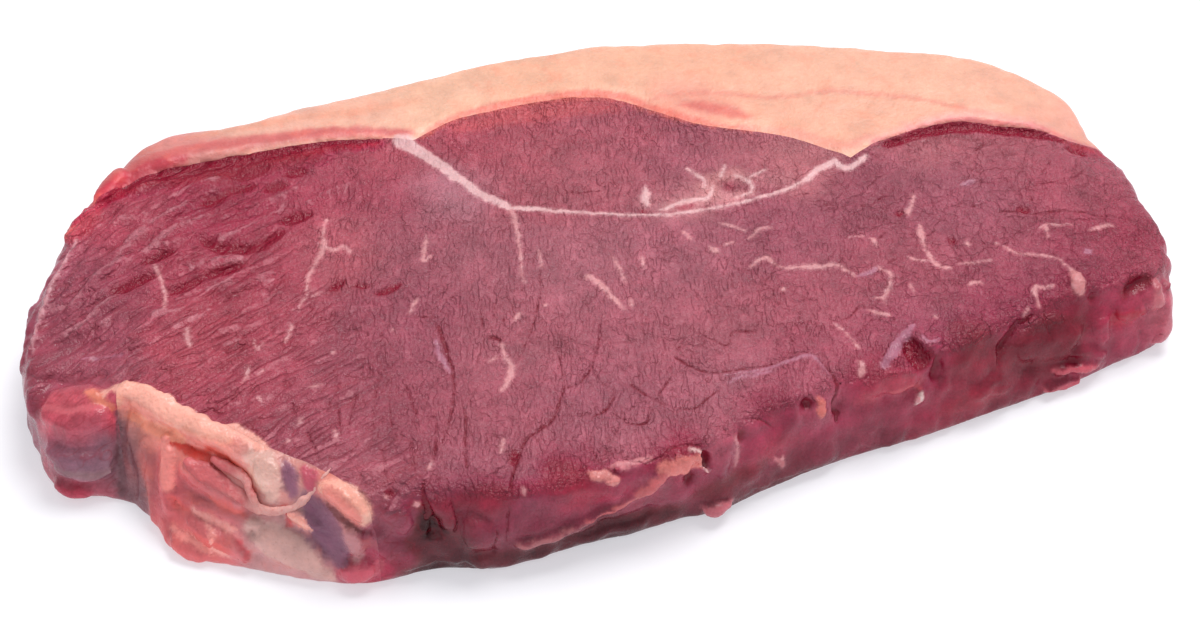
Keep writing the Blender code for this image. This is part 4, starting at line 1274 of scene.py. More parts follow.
def depth_inside(places, widths, route):
    """How far inside one mark each place lies, in mm."""
    widths = np.atleast_1d(widths).astype(float)
    if len(widths) == 1:
        widths = widths[0] * np.array(TAPER)
    if len(route) == 1:
        return widths.max() - np.linalg.norm(places - route[0], axis=1)
    starts, spans = route[:-1], np.diff(route, axis=0)
    away = places[:, None] - starts
    share = (away * spans).sum(2) / np.maximum((spans**2).sum(1), NO_LENGTH)
    share = np.clip(share, 0.0, 1.0)
    gap = np.linalg.norm(away - share[..., None] * spans, axis=2)
    nearest = gap.argmin(1)
    rows = np.arange(len(places))
    along = (nearest + share[rows, nearest]) / len(spans)
    return np.interp(along, np.linspace(0.0, 1.0, len(widths)), widths) - gap[rows, nearest]


def near_route(places, route, reach):
    """Which places lie in the box round a route."""
    low, high = route.min(0) - reach, route.max(0) + reach
    return np.flatnonzero(((places > low) & (places < high)).all(1))


def thinned(marks, share):
    """The same marks with their half widths scaled."""
    return [(np.array(widths) * share, *points) for widths, *points in marks]


def overlaid(places, patches, tree):
    """How far inside the nearest patch each place lies, and that patch's colour."""
    depth = np.full(len(places), -FARTHEST)
    colours = np.full((len(places), 3), PLAIN)
    for colour, widths, *points in patches:
        route = laid(points, tree)[0]
        near = near_route(places, route, np.max(widths) + FARTHEST)
        inside = depth_inside(places[near], widths, route)
        closer = near[inside > depth[near]]
        depth[closer] = inside[inside > depth[near]]
        colours[closer] = colour
    return depth, colours


def measured(places, marks, tree):
    """How far inside the nearest of the marks each place lies, in mm."""
    return overlaid(places, [(PLAIN, *row) for row in marks], tree)[0]


# %% Finer faces along the thin marks
CRACK_SHARE = 0.55
THREAD_SHARE = 0.85
THREAD_COLOUR = (222, 158, 160)
SEAM_COLOUR = (234, 188, 188)
SILVER_COLOUR = (184, 124, 142)
FINE_REACH = 0.8

CRACKS = thinned(CRACKS, CRACK_SHARE)
MARBLING = thinned(MARBLING, THREAD_SHARE)
THREADS = ((THREAD_COLOUR, MARBLING), (SEAM_COLOUR, SEAMS), (SILVER_COLOUR, SILVER))
OVERLAYS = [(colour, *row) for colour, rows in THREADS for row in rows] + PATCHES
tree = skin_tree(mesh)
places = vertex_array(mesh) / MM
fine = measured(places, CRACKS, tree) > -FINE_REACH
fine |= np.abs(overlaid(places, OVERLAYS, tree)[0]) < FINE_REACH
bm = bmesh.new()
bm.from_mesh(mesh)
bm.verts.ensure_lookup_table()
chosen = [e for e in bm.edges if fine[e.verts[0].index] and fine[e.verts[1].index]]
bmesh.ops.subdivide_edges(bm, edges=chosen, cuts=1, use_grid_fill=True)
bmesh.ops.triangulate(bm, faces=[face for face in bm.faces if len(face.verts) > 4])
bm.to_mesh(mesh)
bm.free()
mesh.update()
print("skin:", len(mesh.polygons), "faces after", len(chosen), "edges were split")

# %% [markdown]
# ## Shaping the skin
#
# Every vertex moves along its own normal by a sum of heights: slow lumps on the cut side, small
# ripples everywhere, and each mark's own rise or fall. One function shapes the whole skin, so that
# a fold runs on from one tissue to the next.

# %% Where the tissues meet
FAT_TO_LEAN_LEFT = [
    (-108.4, 26.6), (-97.4, 31.1), (-87.4, 35.6), (-76.4, 37.6), (-56.4, 39.6), (-40.4, 39.1),
    (-32.9, 37.1),
]
FAT_TO_CAP = [
    (-32.9, 37.1), (-24.4, 41.6), (-16.4, 43.6), (-3.4, 44.8), (8.6, 43.6), (18.6, 37.6),
    (26.6, 32.6), (41.6, 27.6), (55.1, 19.1),
]
CAP_TO_LEAN = [
    (-32.9, 37.1), (-26.4, 26.6), (-15.4, 14.6), (-1.4, 11.6), (11.6, 8.6), (30.6, 9.6),
    (41.6, 11.6), (55.1, 19.1),
]
FAT_TO_LEAN_RIGHT = [
    (55.1, 19.1), (63.6, 23.6), (77.6, 26.6), (89.6, 24.1), (103.6, 19.6), (111.6, 17.6),
]
PATCH_TO_LEAN = [
    (-95.4, -41.4), (-96.9, -31.4), (-96.4, -23.9), (-92.4, -22.9), (-84.4, -30.9),
    (-73.4, -39.9), (-61.4, -48.9), (-51.4, -58.9), (-49.9, -67.4),
]
CUT_STEP = 1.5

fat_left = smooth_route(FAT_TO_LEAN_LEFT, CUT_STEP)
fat_cap = smooth_route(FAT_TO_CAP, CUT_STEP)
cap_lean = smooth_route(CAP_TO_LEAN, CUT_STEP)
fat_right = smooth_route(FAT_TO_LEAN_RIGHT, CUT_STEP)
patch = smooth_route(PATCH_TO_LEAN, CUT_STEP)

print("borders laid out, every", CUT_STEP, "mm")

# %% Move the skin
UP = (0.3, 0.8)  # of a normal's height: a wall ends, and the top begins
# where each soft border begins and where it is full, in mm
MEETING = (-0.8, 0.8)
PATCH_EDGE = (-0.6, 0.8)
PATCH_LEFT = (-98.0, -96.4)
PATCH_RIGHT = (-51.0, -49.6)
CALM_END = (-104.0, -94.0)
FOOT_EDGE = (0.3, 2.5)
KNOB_MIDDLE = (-106.0, -27.0)
KNOB_EDGE = (9.0, 12.0)
LEFT_END = (-75.0, -45.0)
FAT_CALM = 0.65
FOLD_ANGLE = 32.0
# height, cap, seed and sizes of the three kinds of ridge
FOLDS = (1.7, 0.5, 7, (12.0, 3.0, 6.0))
BUNDLES = (0.5, 0.4, 8, (4.2, 7.0, 7.0))
PILLARS = (1.3, 0.5, 9, (5.5, 5.5, 16.0))
# (mark, rise in mm, depth inside where it starts, depth where it is full)
MARK_RELIEF = (
    ("crack", -0.22, -0.3, 0.25),
    ("crack", -0.9, 0.3, 1.5),
    ("hollow", -0.9, -1.0, 0.9),
    ("over", 0.12, -0.4, 0.3),
    ("ridge", 0.45, -1.2, 0.8),
)


def ridged(places, height, cap, seed, sizes):
    """Blunt ridges with narrow valleys, which follow the zero lines of a noise."""
    away = np.abs(noise_at(places / sizes, 1.0, seed))
    return height * (np.minimum(away, cap) - 0.5 * cap)


places = vertex_array(mesh) / MM
normals = vertex_array(mesh, "normal")
x, y, z = places.T.copy()
depths = {
    "crack": measured(places, CRACKS, tree),
    "hollow": measured(places, HOLLOWS, tree),
    "ridge": measured(places, RIDGES, tree),
}
depths["over"], over_colour = overlaid(places, OVERLAYS, tree)
upward = ease(normals[:, 2], *UP)
side = 1.0 - upward
back = np.vstack((fat_left, fat_cap[1:], fat_right[1:]))
behind = y - np.interp(x, back[:, 0], back[:, 1])
order = np.argsort(patch[:, 0])
ahead = np.interp(x, patch[order, 0], patch[order, 1]) - y
in_patch = ease(ahead, *PATCH_EDGE) * ease(x, *PATCH_LEFT)
in_patch *= 1.0 - ease(x, *PATCH_RIGHT)
fatty = np.maximum(ease(behind, *MEETING), in_patch)
calm = 1.0 - 0.5 * (1.0 - ease(x, *CALM_END))
off_knob = ease(np.hypot(x - KNOB_MIDDLE[0], y - KNOB_MIDDLE[1]), *KNOB_EDGE)
left_end = off_knob * (1.0 - ease(x, *LEFT_END))
turn = math.radians(FOLD_ANGLE)
along = x * math.cos(turn) + y * math.sin(turn)
across = -x * math.sin(turn) + y * math.cos(turn)
height = side * calm * layered(places, "side lumps")
height += upward * layered(places, "top ripples")
height += left_end * upward * ridged(np.stack((along, across, z), 1), *FOLDS)
height += (off_knob - left_end) * upward * ridged(places, *BUNDLES)
height += side * calm * ridged(places, *PILLARS)
height *= 1.0 - FAT_CALM * fatty
height += fatty * layered(places, "fat swells")
for mark, rise, outer, inner in MARK_RELIEF:
    height += rise * ease(depths[mark], outer, inner)
height *= ease(z, *FOOT_EDGE)
places += normals * height[:, None]
places[:, 2] = np.maximum(places[:, 2], 0.0)
set_vertices(mesh, places * MM)
print("heights from", round(height.min(), 2), "to", round(height.max(), 2), "mm")

# %% [markdown]
# ## Colours laid on the skin
#
# Beef isn't one red: it is wine-coloured where it has been open to the air, brighter where a fold
# has kept it covered, and greyish where a thin membrane lies over it. Broad zones come first, each
# a soft blot round a place. Narrow stains then go over them along routes, like a brush. A few
# zones and stains are painted shade: along the foot, round and inside the front notch, in the
# hollow at the right end, and in the gaps beside the knob and under the fat bit with a hook.

# %% Broad zones of colour
# (x, y, z, radius, colour)
MUSCLE_ZONES = [
    # the lean muscle's cut face
    (-110, 12, 17, 9, (178, 104, 118)), (-98, 22, 20, 9, (186, 88, 102)), (-86, 22, 21, 9, (178, 84, 98)),
    (-74, 24, 21, 7, (158, 66, 84)), (-62, 24, 21, 9, (170, 78, 93)), (-50, 30, 21, 8, (174, 85, 99)),
    (-40, 32, 21, 7, (182, 94, 105)), (-40, 22, 21, 8, (168, 85, 99)), (-27, 22, 21, 7, (184, 122, 133)),
    (-98, 5, 20, 10, (162, 87, 100)), (-85, 5, 21, 10, (171, 80, 94)), (-70, 5, 21, 10, (170, 81, 94)),
    (-51, 9, 21, 8, (183, 99, 109)), (-37, 8, 21, 8, (162, 94, 105)), (-98, -9, 20, 9, (169, 92, 105)),
    (-80, -10, 21, 10, (183, 90, 101)), (-63, -10, 21, 9, (177, 90, 102)), (-48, -15, 21, 9, (160, 88, 100)),
    (-37, -14, 21, 9, (162, 91, 104)), (-22, 0, 21, 9, (168, 100, 111)), (-2, -4, 21, 10, (175, 106, 117)),
    (18, -4, 21, 10, (173, 103, 115)), (38, 0, 21, 10, (163, 92, 105)), (57, 8, 21, 9, (158, 89, 101)),
    (76, 6, 21, 10, (165, 94, 107)), (96, 6, 20, 10, (168, 88, 101)), (-20, -22, 21, 10, (171, 99, 110)),
    (0, -22, 21, 10, (173, 100, 112)), (20, -22, 21, 10, (171, 98, 109)), (42, -18, 21, 10, (173, 95, 107)),
    (62, -16, 21, 10, (170, 93, 105)), (82, -14, 20, 9, (164, 89, 102)), (96, -14, 19, 9, (158, 79, 93)),
    (108, -12, 18, 8, (160, 74, 89)), (-72, -28, 21, 9, (174, 88, 100)), (-60, -38, 21, 9, (168, 91, 103)),
    (-46, -38, 21, 10, (161, 89, 101)), (-26, -42, 21, 9, (171, 96, 108)), (-4, -42, 21, 10, (168, 98, 111)),
    (18, -42, 21, 9, (171, 101, 113)), (40, -34, 21, 9, (170, 91, 105)), (60, -28, 20, 9, (163, 86, 102)),
    (-54, -54, 20, 7, (176, 99, 110)), (-28, -55, 19, 7, (172, 100, 113)),
    (0, -53, 20, 7, (178, 106, 118)), (20, -50, 20, 6, (180, 104, 116)),
    (40, -42, 20, 6, (184, 104, 118)),
    (76, -24, 19, 7, (158, 76, 92)), (92, -22, 17, 7, (150, 62, 82)), (-112, -8, 16, 7, (172, 92, 104)),
    (72, 22, 21, 7, (176, 104, 112)), (88, 20, 21, 7, (172, 98, 108)),
    # the lean muscle's front side
    (-48, -60, 12, 6, (150, 84, 96)), (-49, -61, 4, 4, (176, 76, 92)), (-38, -60, 12, 6, (124, 62, 74)),
    (-25, -61, 12, 7, (136, 68, 82)),
    (-12, -60, 14, 7, (148, 74, 88)), (0, -58, 14, 7, (166, 84, 97)), (14, -54, 12, 7, (158, 76, 91)),
    (28, -50, 13, 8, (160, 74, 91)), (42, -45, 12, 8, (156, 72, 88)), (54, -41, 14, 7, (166, 80, 94)),
    (66, -37, 12, 7, (152, 60, 80)), (78, -33, 13, 7, (128, 46, 68)), (90, -29, 13, 7, (126, 44, 66)),
    (102, -25, 12, 6, (172, 76, 92)), (110, -20, 12, 6, (178, 96, 108)),
    # the lowest row, near the foot, is darker as painted shade along the foot
    (-38, -60, 3, 6, (84, 46, 54)), (-20, -62, 3, 6, (118, 68, 78)), (-6, -60, 3, 6, (92, 50, 60)),
    (14, -55, 3, 7, (112, 58, 70)), (30, -50, 3, 7, (118, 60, 72)), (46, -44, 3, 7, (128, 64, 78)),
    (62, -38, 3, 7, (148, 62, 80)), (80, -34, 3, 7, (140, 60, 78)), (98, -26, 3, 8, (160, 76, 92)),
    (-30, -60, 19, 4, (134, 50, 68)), (-12, -58, 19.5, 4, (158, 56, 76)), (8, -55, 19, 4, (150, 56, 74)),
    (26, -49, 19, 5, (146, 56, 74)), (48, -41, 18.5, 5, (152, 62, 78)), (70, -34, 18, 5, (128, 46, 66)),
    # the left end and the knob
    (-113, 8, 9, 8, (150, 76, 92)), (-112, -8, 8, 8, (150, 84, 98)), (-104, -28, 16, 5, (204, 96, 108)),
    (-104, -32, 10, 5, (140, 110, 124)), (-106, -31, 3, 5, (182, 94, 106)), (-96, -36, 8, 5, (140, 106, 110)),
    # the muscle under the fat
    (-20, 34, 21, 7, (180, 92, 104)), (-8, 34, 21, 7, (176, 96, 106)), (8, 34, 21, 8, (174, 96, 107)),
    (-12, 22, 21, 8, (172, 95, 105)), (4, 20, 21, 8, (172, 98, 108)), (20, 24, 21, 8, (170, 98, 110)),
    (34, 20, 21, 7, (176, 104, 113)), (44, 18, 21, 6, (192, 118, 124)), (20, 13, 21, 5, (196, 126, 132)),
]
FAT_ZONES = [
    # the back fat
    (-95, 34, 19, 6, (214, 124, 124)), (-80, 42, 20, 6, (232, 152, 144)), (-62, 48, 21, 8, (248, 188, 168)),
    (-44, 50, 21, 8, (252, 192, 168)), (-26, 53, 21, 8, (252, 196, 168)), (-6, 54, 21, 8, (251, 190, 160)),
    (14, 54, 21, 8, (251, 190, 161)), (34, 52, 21, 8, (251, 188, 160)), (54, 48, 21, 8, (251, 192, 165)),
    (74, 44, 21, 8, (250, 190, 164)), (94, 36, 21, 8, (249, 188, 163)), (104, 26, 20, 6, (244, 176, 158)),
    (40, 36, 21, 7, (248, 184, 158)), (62, 32, 21, 7, (248, 184, 158)), (26, 40, 21, 6, (246, 170, 150)),
    (-60, 52, 8, 14, (244, 186, 166)), (0, 60, 8, 20, (247, 190, 166)), (60, 54, 8, 18, (247, 188, 164)),
    (100, 36, 8, 12, (244, 182, 160)), (-92, 40, 8, 8, (222, 148, 140)), (108, 24, 8, 6, (232, 158, 148)),
    # the patch of fat at the front left
    (-90, -30, 19, 6, (238, 150, 138)), (-80, -38, 19, 6, (236, 146, 136)),
    (-70, -45, 19, 5, (216, 150, 142)),
    (-88, -42, 10, 6, (194, 100, 104)), (-79, -48, 8, 6, (206, 118, 121)), (-86, -50, 3, 5, (208, 108, 108)),
    (-69, -54, 8, 6, (190, 142, 140)), (-66, -56, 4, 6, (192, 142, 142)),
    (-59, -57, 12, 4, (138, 98, 112)), (-50.6, -61, 12, 4, (150, 86, 98)),
    (-55, -58, 18, 4, (226, 140, 130)), (-53, -61, 4, 4, (166, 76, 90)),
    # the zone at x -96.6 here and the next one are darker as painted shade beside the knob
    (-93, -34, 10, 4, (176, 104, 104)), (-96.6, -31, 12, 4, (128, 96, 98)),
    (-96, -36, 5, 4, (126, 94, 98)),
]
ZONE_WARP = (2.6, 7.0, 20)  # amount, size and seed


def blended(places, rows):
    """The soft mean of the rows' colours at each place."""
    warped = places + drift(places, *ZONE_WARP)
    closeness = np.stack([
        -((warped - (x, y, z)) ** 2).sum(1) / radius**2 - math.log(radius)
        for x, y, z, radius, _ in rows
    ], 1)
    weights = np.exp(closeness - closeness.max(1, keepdims=True))
    colours = np.array([row[-1] for row in rows], float)
    return weights @ colours / weights.sum(1, keepdims=True)


muscle_tone = blended(places, MUSCLE_ZONES)
fat_tone = blended(places, FAT_ZONES)
print("zones of colour:", len(MUSCLE_ZONES) + len(FAT_ZONES))

# %% Stains and painted shade along routes
# (colour, strength, softness, half width, route)
BORDER_STAINS = [
    # pink connective tissue between the fat and the lean
    (
        (224, 116, 126), 0.8, 0.7, 0.7, (60, 22.4), (66, 24.4), (72, 26.2), (79, 26.9), (90, 24.6),
        (100, 21.4), (107, 19),
    ),
    (
        (232, 154, 146), 0.8, 1.2, 1.2, (-92, 35.4), (-82, 38), (-72, 39.4), (-56, 41), (-42, 40.4),
        (-33, 38.6),
    ),
    (
        (222, 116, 114), 0.85, 1.2, 1.4, (-104, 28.4), (-97, 33), (-88, 38.6), (-76, 40.8), (-58, 42),
        (-42, 41), (-34, 39),
    ),
    ((206, 72, 86), 0.8, 1.4, 1.6, (-105, 26.4), (-97.6, 31.8), (-89, 36), (-80, 38.2)),
    (
        (226, 118, 106), 0.8, 0.9, 1.0, (-31, 38), (-24, 42.2), (-15, 44.4), (-3, 45.4), (9, 44.2),
        (18, 38.6), (26, 33.4), (36, 30),
    ),
    ((222, 104, 100), 0.6, 1.6, 1.2, (24, 39), (31, 36.4), (36, 33.6)),
    ((246, 114, 104), 0.7, 1.2, 1.6, (-106, 22.6, 18), (-102, 27, 19), (-98, 30.6, 20)),
]
MUSCLE_STAINS_AND_SHADE = [
    # the red under the fat
    (
        (170, 32, 72), 0.95, 1.0, 2.4, (-103, 26.2), (-97.6, 29.8), (-88, 34), (-76.6, 36), (-62, 37.4),
        (-50, 38.2), (-40, 37.8),
    ),
    ((146, 26, 62), 0.6, 2.4, 2.4, (-90, 30.6), (-82, 32.6), (-74, 33.6), (-62, 35), (-52, 35)),
    ((152, 34, 62), 0.85, 0.8, 1.1, (63, 21.8), (70, 24.2), (78, 25.3), (90, 22.9), (99, 20), (106, 18)),
    ((192, 60, 80), 0.6, 1.2, 0.8, (100, 19.2), (106, 17.4), (110, 16)),
    ((214, 104, 106), 0.6, 2.4, 2.0, (-24, 40), (-13, 42), (0, 42.6), (10, 41.4)),
    # pale cloudy tissue beside the seam, and the red places in it
    ((218, 150, 152), 0.75, 1.4, 1.7, (15.6, 11), (20, 11.6), (24.6, 12.6), (29, 11.8), (34, 12.4)),
    ((220, 150, 150), 0.75, 1.4, 1.7, (23.4, 16), (25.6, 14.6), (26.4, 17.6), (30.6, 18.2), (33.6, 16.2)),
    ((208, 136, 142), 0.6, 2.2, 1.6, (34, 17.6), (37.4, 15.6), (41.6, 15.6)),
    ((210, 140, 146), 0.7, 1.2, 1.2, (11.2, 11.6), (12.2, 14.4)),
    ((172, 84, 96), 0.8, 0.7, 0.8, (29, 15.6), (29.6, 13.8)),
    ((166, 70, 84), 0.8, 0.6, 0.4, (17, 10.6), (21.6, 10.9)),
    # the left end
    ((208, 90, 102), 0.8, 1.6, 2.0, (-104, 21, 19), (-100, 26, 20), (-97, 32, 19)),
    ((206, 104, 112), 0.6, 2.0, 3.0, (-110, -22, 17), (-104, -24, 18), (-99, -25, 19)),
    ((226, 140, 116), 0.7, 1.2, 1.2, (-101.6, -23, 19), (-99, -26, 18.6)),
    (
        (170, 132, 138), 0.6, 0.8, 0.8, (-110.6, -30.6, 8.2), (-106, -32, 7.4), (-101.4, -32.6, 7.2),
        (-98.6, -32.6, 9),
    ),
    ((190, 76, 92), 0.7, 1.6, 2.2, (-109.6, -32, 3), (-105, -33, 2.6)),
    # the front side
    (
        (148, 46, 74), 0.65, 1.4, 1.5, (-44, -59.6, 18), (-30, -59.4, 18.4), (-16, -58.6, 19),
        (-2, -57, 19), (10, -55, 18.6),
    ),
    # painted shade low round the dark notch, and in the next two rows inside it
    ((98, 34, 50), 0.7, 2.0, 3.0, (-44, -60.6, 9), (-38, -60.6, 8), (-32, -60.8, 8)),
    ((74, 6, 20), 0.95, 1.5, 1.6, (-41, -59, 16.4), (-40.2, -59.6, 13.4), (-40.4, -60, 10.8)),
    ((76, 8, 22), 0.9, 0.9, 1.0, (-42.4, -59.6, 12.6), (-39.6, -60, 12.6), (-37.4, -60.6, 11.6)),
    # painted shade along the groove at the foot
    ((96, 36, 50), 0.7, 2.0, 2.2, (-28, -62, 4), (-16, -61, 4), (-4, -59.4, 4.6), (8, -57, 4.6)),
    ((112, 40, 58), 0.6, 2.4, 1.6, (12, -55, 8), (24, -51.4, 10), (30, -49.6, 14)),
    ((174, 62, 84), 0.6, 2.4, 2.0, (-14, -60.6, 15), (-8, -59.4, 15.6), (-2, -58.4, 16)),
    ((178, 70, 90), 0.6, 2.4, 2.2, (20, -52.6, 12), (28, -50, 13), (34, -47.4, 11)),
    ((184, 84, 94), 0.6, 1.6, 2.4, (46, -41.6, 15), (52, -39.6, 17), (58, -38, 15)),
    ((170, 62, 80), 0.6, 1.8, 2.0, (64, -38.4, 6), (70, -36.6, 7), (76, -35.4, 6)),
    ((114, 36, 58), 0.5, 3.0, 3.4, (79, -32.6, 13), (86, -30.6, 14), (93, -28, 14)),
    # painted shade in the hollow at the right end
    ((112, 30, 52), 0.7, 1.6, 1.4, (103, -22.6, 17), (106, -21, 17), (108.6, -18.6, 17)),
    ((186, 60, 78), 0.6, 1.6, 1.6, (100, -25, 12), (105.4, -23.8, 12)),
    ((190, 106, 116), 0.6, 1.8, 2.0, (110.6, -20.6, 12), (111.6, -20, 6)),
]
FAT_STAINS_AND_SHADE = [
    # a vein line along the back fat
    (
        (236, 136, 122), 0.5, 0.8, 0.45, (13.6, 41), (22, 42.4), (30, 42), (42, 38.8), (55, 38.4),
        (69, 34.8), (81, 29.8), (92, 24.8), (101, 21.4),
    ),
    ((236, 150, 136), 0.6, 1.2, 1.2, (34, 30.4), (44, 27.4), (54, 22), (60, 24.4)),
    ((246, 176, 164), 0.7, 1.4, 1.0, (60, 23.4), (70, 26.6), (80, 28), (90, 26), (102, 21.6)),
    ((244, 168, 140), 0.5, 1.4, 1.0, (-78, 45), (-60, 47.4), (-44, 47.6), (-30, 49)),
    # the patch of fat at the front left
    (
        (250, 176, 150), 0.8, 1.2, 1.8, (-97, -25, 19), (-94, -24, 21), (-90, -27.4, 21),
        (-86, -32, 20.6), (-81, -36.6, 20.6), (-76, -40.6, 20.6),
    ),
    (
        (196, 76, 66), 0.8, 0.8, 0.7, (-87, -36.6, 18), (-83, -39.3, 18), (-79, -41.8, 18.4),
        (-76, -44, 18), (-73.6, -46.5, 18),
    ),
    ((224, 190, 172), 0.7, 1.2, 1.8, (-71, -45.6, 19), (-69.4, -49.6, 17)),
    ((134, 92, 112), 0.8, 1.2, 1.6, (-65.6, -48, 19.6), (-64.4, -51, 17)),
    ((206, 102, 100), 0.6, 1.4, 1.2, (-88, -43, 9), (-86, -45, 7)),
    ((206, 102, 100), 0.6, 1.4, 1.2, (-79, -47, 12), (-76.4, -48.4, 11)),
    ((208, 106, 102), 0.6, 1.4, 1.0, (-84, -50, 5), (-78, -52, 4.6)),
    ((206, 116, 110), 0.6, 1.6, 1.0, (-92, -33, 12), (-91, -37, 8), (-90, -40, 4)),
    # painted shade in the crease beside the knob
    ((120, 88, 92), 0.8, 1.8, 1.8, (-96.4, -28, 15), (-95.6, -31, 12), (-95, -36, 8), (-94.6, -39, 3)),
    ((196, 138, 132), 0.7, 1.6, 3.0, (-72, -54.4, 9), (-66, -57, 6), (-61, -60, 4)),
    ((124, 86, 100), 0.8, 1.2, 2.0, (-62, -55, 16), (-60.6, -57, 12), (-60, -59.4, 7.4)),
    ((240, 160, 146), 0.8, 1.0, 1.2, (-65.6, -55.4, 13), (-63.4, -56, 12.6)),
    ((186, 74, 74), 0.6, 0.8, 0.5, (-67.4, -54, 14), (-67, -55, 11.6)),
    ((176, 80, 94), 0.7, 1.4, 2.2, (-55, -62, 4.6), (-52, -62.2, 4)),
    ((206, 150, 150), 0.5, 1.0, 1.0, (-57, -59.6, 15), (-56.4, -60.8, 9)),
]
STAIN_WARP = (0.6, 1.6, 30)
BRUSH_ROOM = 1.0
BRUSH_CORE = 0.6


def stained_and_shaded(tone, places, rows, tree):
    """The colours with each stain, and each band of painted shade, brushed over them."""
    tone = tone.copy()
    wander = drift(places, *STAIN_WARP)
    for colour, strength, softness, width, *points in rows:
        route = laid(points, tree)[0]
        near = near_route(places, route, width + softness + BRUSH_ROOM)
        inside = depth_inside(places[near] + wander[near], width, route)
        share = strength * ease(inside, -softness, BRUSH_CORE * softness)[:, None]
        tone[near] += share * (np.array(colour, float) - tone[near])
    return tone


muscle_tone = stained_and_shaded(muscle_tone, places, BORDER_STAINS + MUSCLE_STAINS_AND_SHADE, tree)
fat_tone = stained_and_shaded(fat_tone, places, BORDER_STAINS + FAT_STAINS_AND_SHADE, tree)
print("stains:", len(BORDER_STAINS) + len(MUSCLE_STAINS_AND_SHADE) + len(FAT_STAINS_AND_SHADE))

# %% Store the colours and the marks on the skin
MUSCLE_LIGHT = (0.98, 1.28)
FAT_LIGHT = (1.2, 1.46)
CORNER_LIGHT = (0.76, 1.15)
FILM_HAZE = np.array((0.037, 0.038, 0.034))
DEEP_SHARE = 0.45
SURFACE_RANGE = (0.002, 0.95)
FIELDS = {"FLOAT": ("value", 1), "FLOAT_COLOR": ("color", 4)}


def under_light(shown, level=MUSCLE_LIGHT[1]):
    """The colour a surface needs, to look like a shown colour (0 to 255) at a level of light."""
    seen = linear(shown)
    return np.clip(np.maximum(seen - FILM_HAZE, DEEP_SHARE * seen) / level, *SURFACE_RANGE)


def fill(mesh, name, values):
    """Writes what a mesh stores under a name, one row for each vertex."""
    attribute = mesh.attributes[name]
    field = FIELDS[attribute.data_type][0]
    attribute.data.foreach_set(field, np.ascontiguousarray(values, np.float32).ravel())


def field_of(mesh, name):
    """Reads what a mesh stores under a name."""
    attribute = mesh.attributes[name]
    field, width = FIELDS[attribute.data_type]
    values = np.empty(len(attribute.data) * width, np.float32)
    attribute.data.foreach_get(field, values)
    return values.reshape(-1, width) if width > 1 else values


# where each soft border begins and where it is full
CUT_FACE = (0.2, 0.9)
CUT_HEIGHT = (15.0, 18.0)
RIGHT_PART = (34.0, 60.0)
RIGHT_SLANT = 0.4
LEFT_LAY = (-66.0, -42.0)
LEFT_SLANT = 0.3
FRONT_FACING = (-0.1, 0.3)
MARK_MOTTLE = 0.5

x, y, z = places.T.copy()
cut_face = ease(upward, *CUT_FACE) * off_knob * ease(z, *CUT_HEIGHT)
to_right = ease(x + RIGHT_SLANT * y, *RIGHT_PART)
crackle = ease(layered(places, "crackle") + 0.5 * to_right - 0.15, -0.3, 0.4)
rough = ease(layered(places, "rough"), -0.5, 0.6)
fibre = ease(layered(places, "fibre") - 0.8 * to_right, -0.7, 0.2)
mottle = 1.0 + layered(places, "mottle") + (1.0 - cut_face) * layered(places, "side mottle")
opaque = np.ones((len(places), 1))


def light_between(light):
    """The level of light at each vertex: the first value is a wall's, the second the top's."""
    return light[0] + (light[1] - light[0]) * upward[:, None]


def stored_colour(shown, level, share=MARK_MOTTLE):
    """Surface colours for shown ones at a level of light, with a share of the mottle over them."""
    spread = (1.0 - share) + share * mottle[:, None]
    return np.hstack((under_light(shown, level) * spread, opaque))


on_muscle = light_between(MUSCLE_LIGHT)
on_fat = light_between(FAT_LIGHT)
facing_front = np.maximum(in_patch, ease(-normals[:, 1], *FRONT_FACING))[:, None]
on_fat += facing_front * (light_between(CORNER_LIGHT) - on_fat)
stored = {
    **depths,
    "tone": stored_colour(muscle_tone, on_muscle, 1.0),
    "fat_tone": stored_colour(fat_tone, on_fat),
    "over_tone": stored_colour(over_colour, on_muscle),
    "fat_over_tone": stored_colour(over_colour, on_fat),
    "left_lay": 1.0 - ease(x + LEFT_SLANT * y, *LEFT_LAY),
    "fibre": fibre,
    "crackle": crackle,
    "rough": rough,
    "cut": cut_face,
    "whole": np.ones(len(places)),
}
STORED = list(stored)
for name, values in stored.items():
    kind = "FLOAT" if values.ndim == 1 else "FLOAT_COLOR"
    mesh.attributes.new(name, kind, "POINT")
    fill(mesh, name, values)
print("stored:", STORED)

# %% [markdown]
# ## Cutting the skin into tissues
#
# The four tissues meet along upright cuts. Each one is the skin kept within a hidden prism that
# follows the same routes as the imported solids, so a tissue is a closed body and its cut face
# touches its neighbour's exactly.

# %% One loop for each tissue
REACH = 150.0
PRISM_FOOT = -0.02
PRISM_HEIGHT = 0.08
STORED_WHOLE = 0.999
TOUCHING = 1e-7
left_start = [(-REACH, fat_left[0][1])]
right_end = [(REACH, fat_right[-1][1])]
patch_left = [(-REACH, patch[0][1])]
patch_right = [(patch[-1][0], -REACH)]
LOOPS = {
    "lean": [
        left_start, fat_left, cap_lean[1:], fat_right[1:], right_end, [(REACH, -REACH)],
        patch_right, patch[::-1], patch_left,
    ],
    "cap_muscle": [cap_lean, fat_cap[-2:0:-1]],
    "fat_cap": [
        left_start, fat_left, fat_cap[1:], fat_right[1:], right_end, [(REACH, REACH)],
        [(-REACH, REACH)],
    ],
    "front_fat": [patch[::-1], patch_left, [(-REACH, -REACH)], patch_right],
}


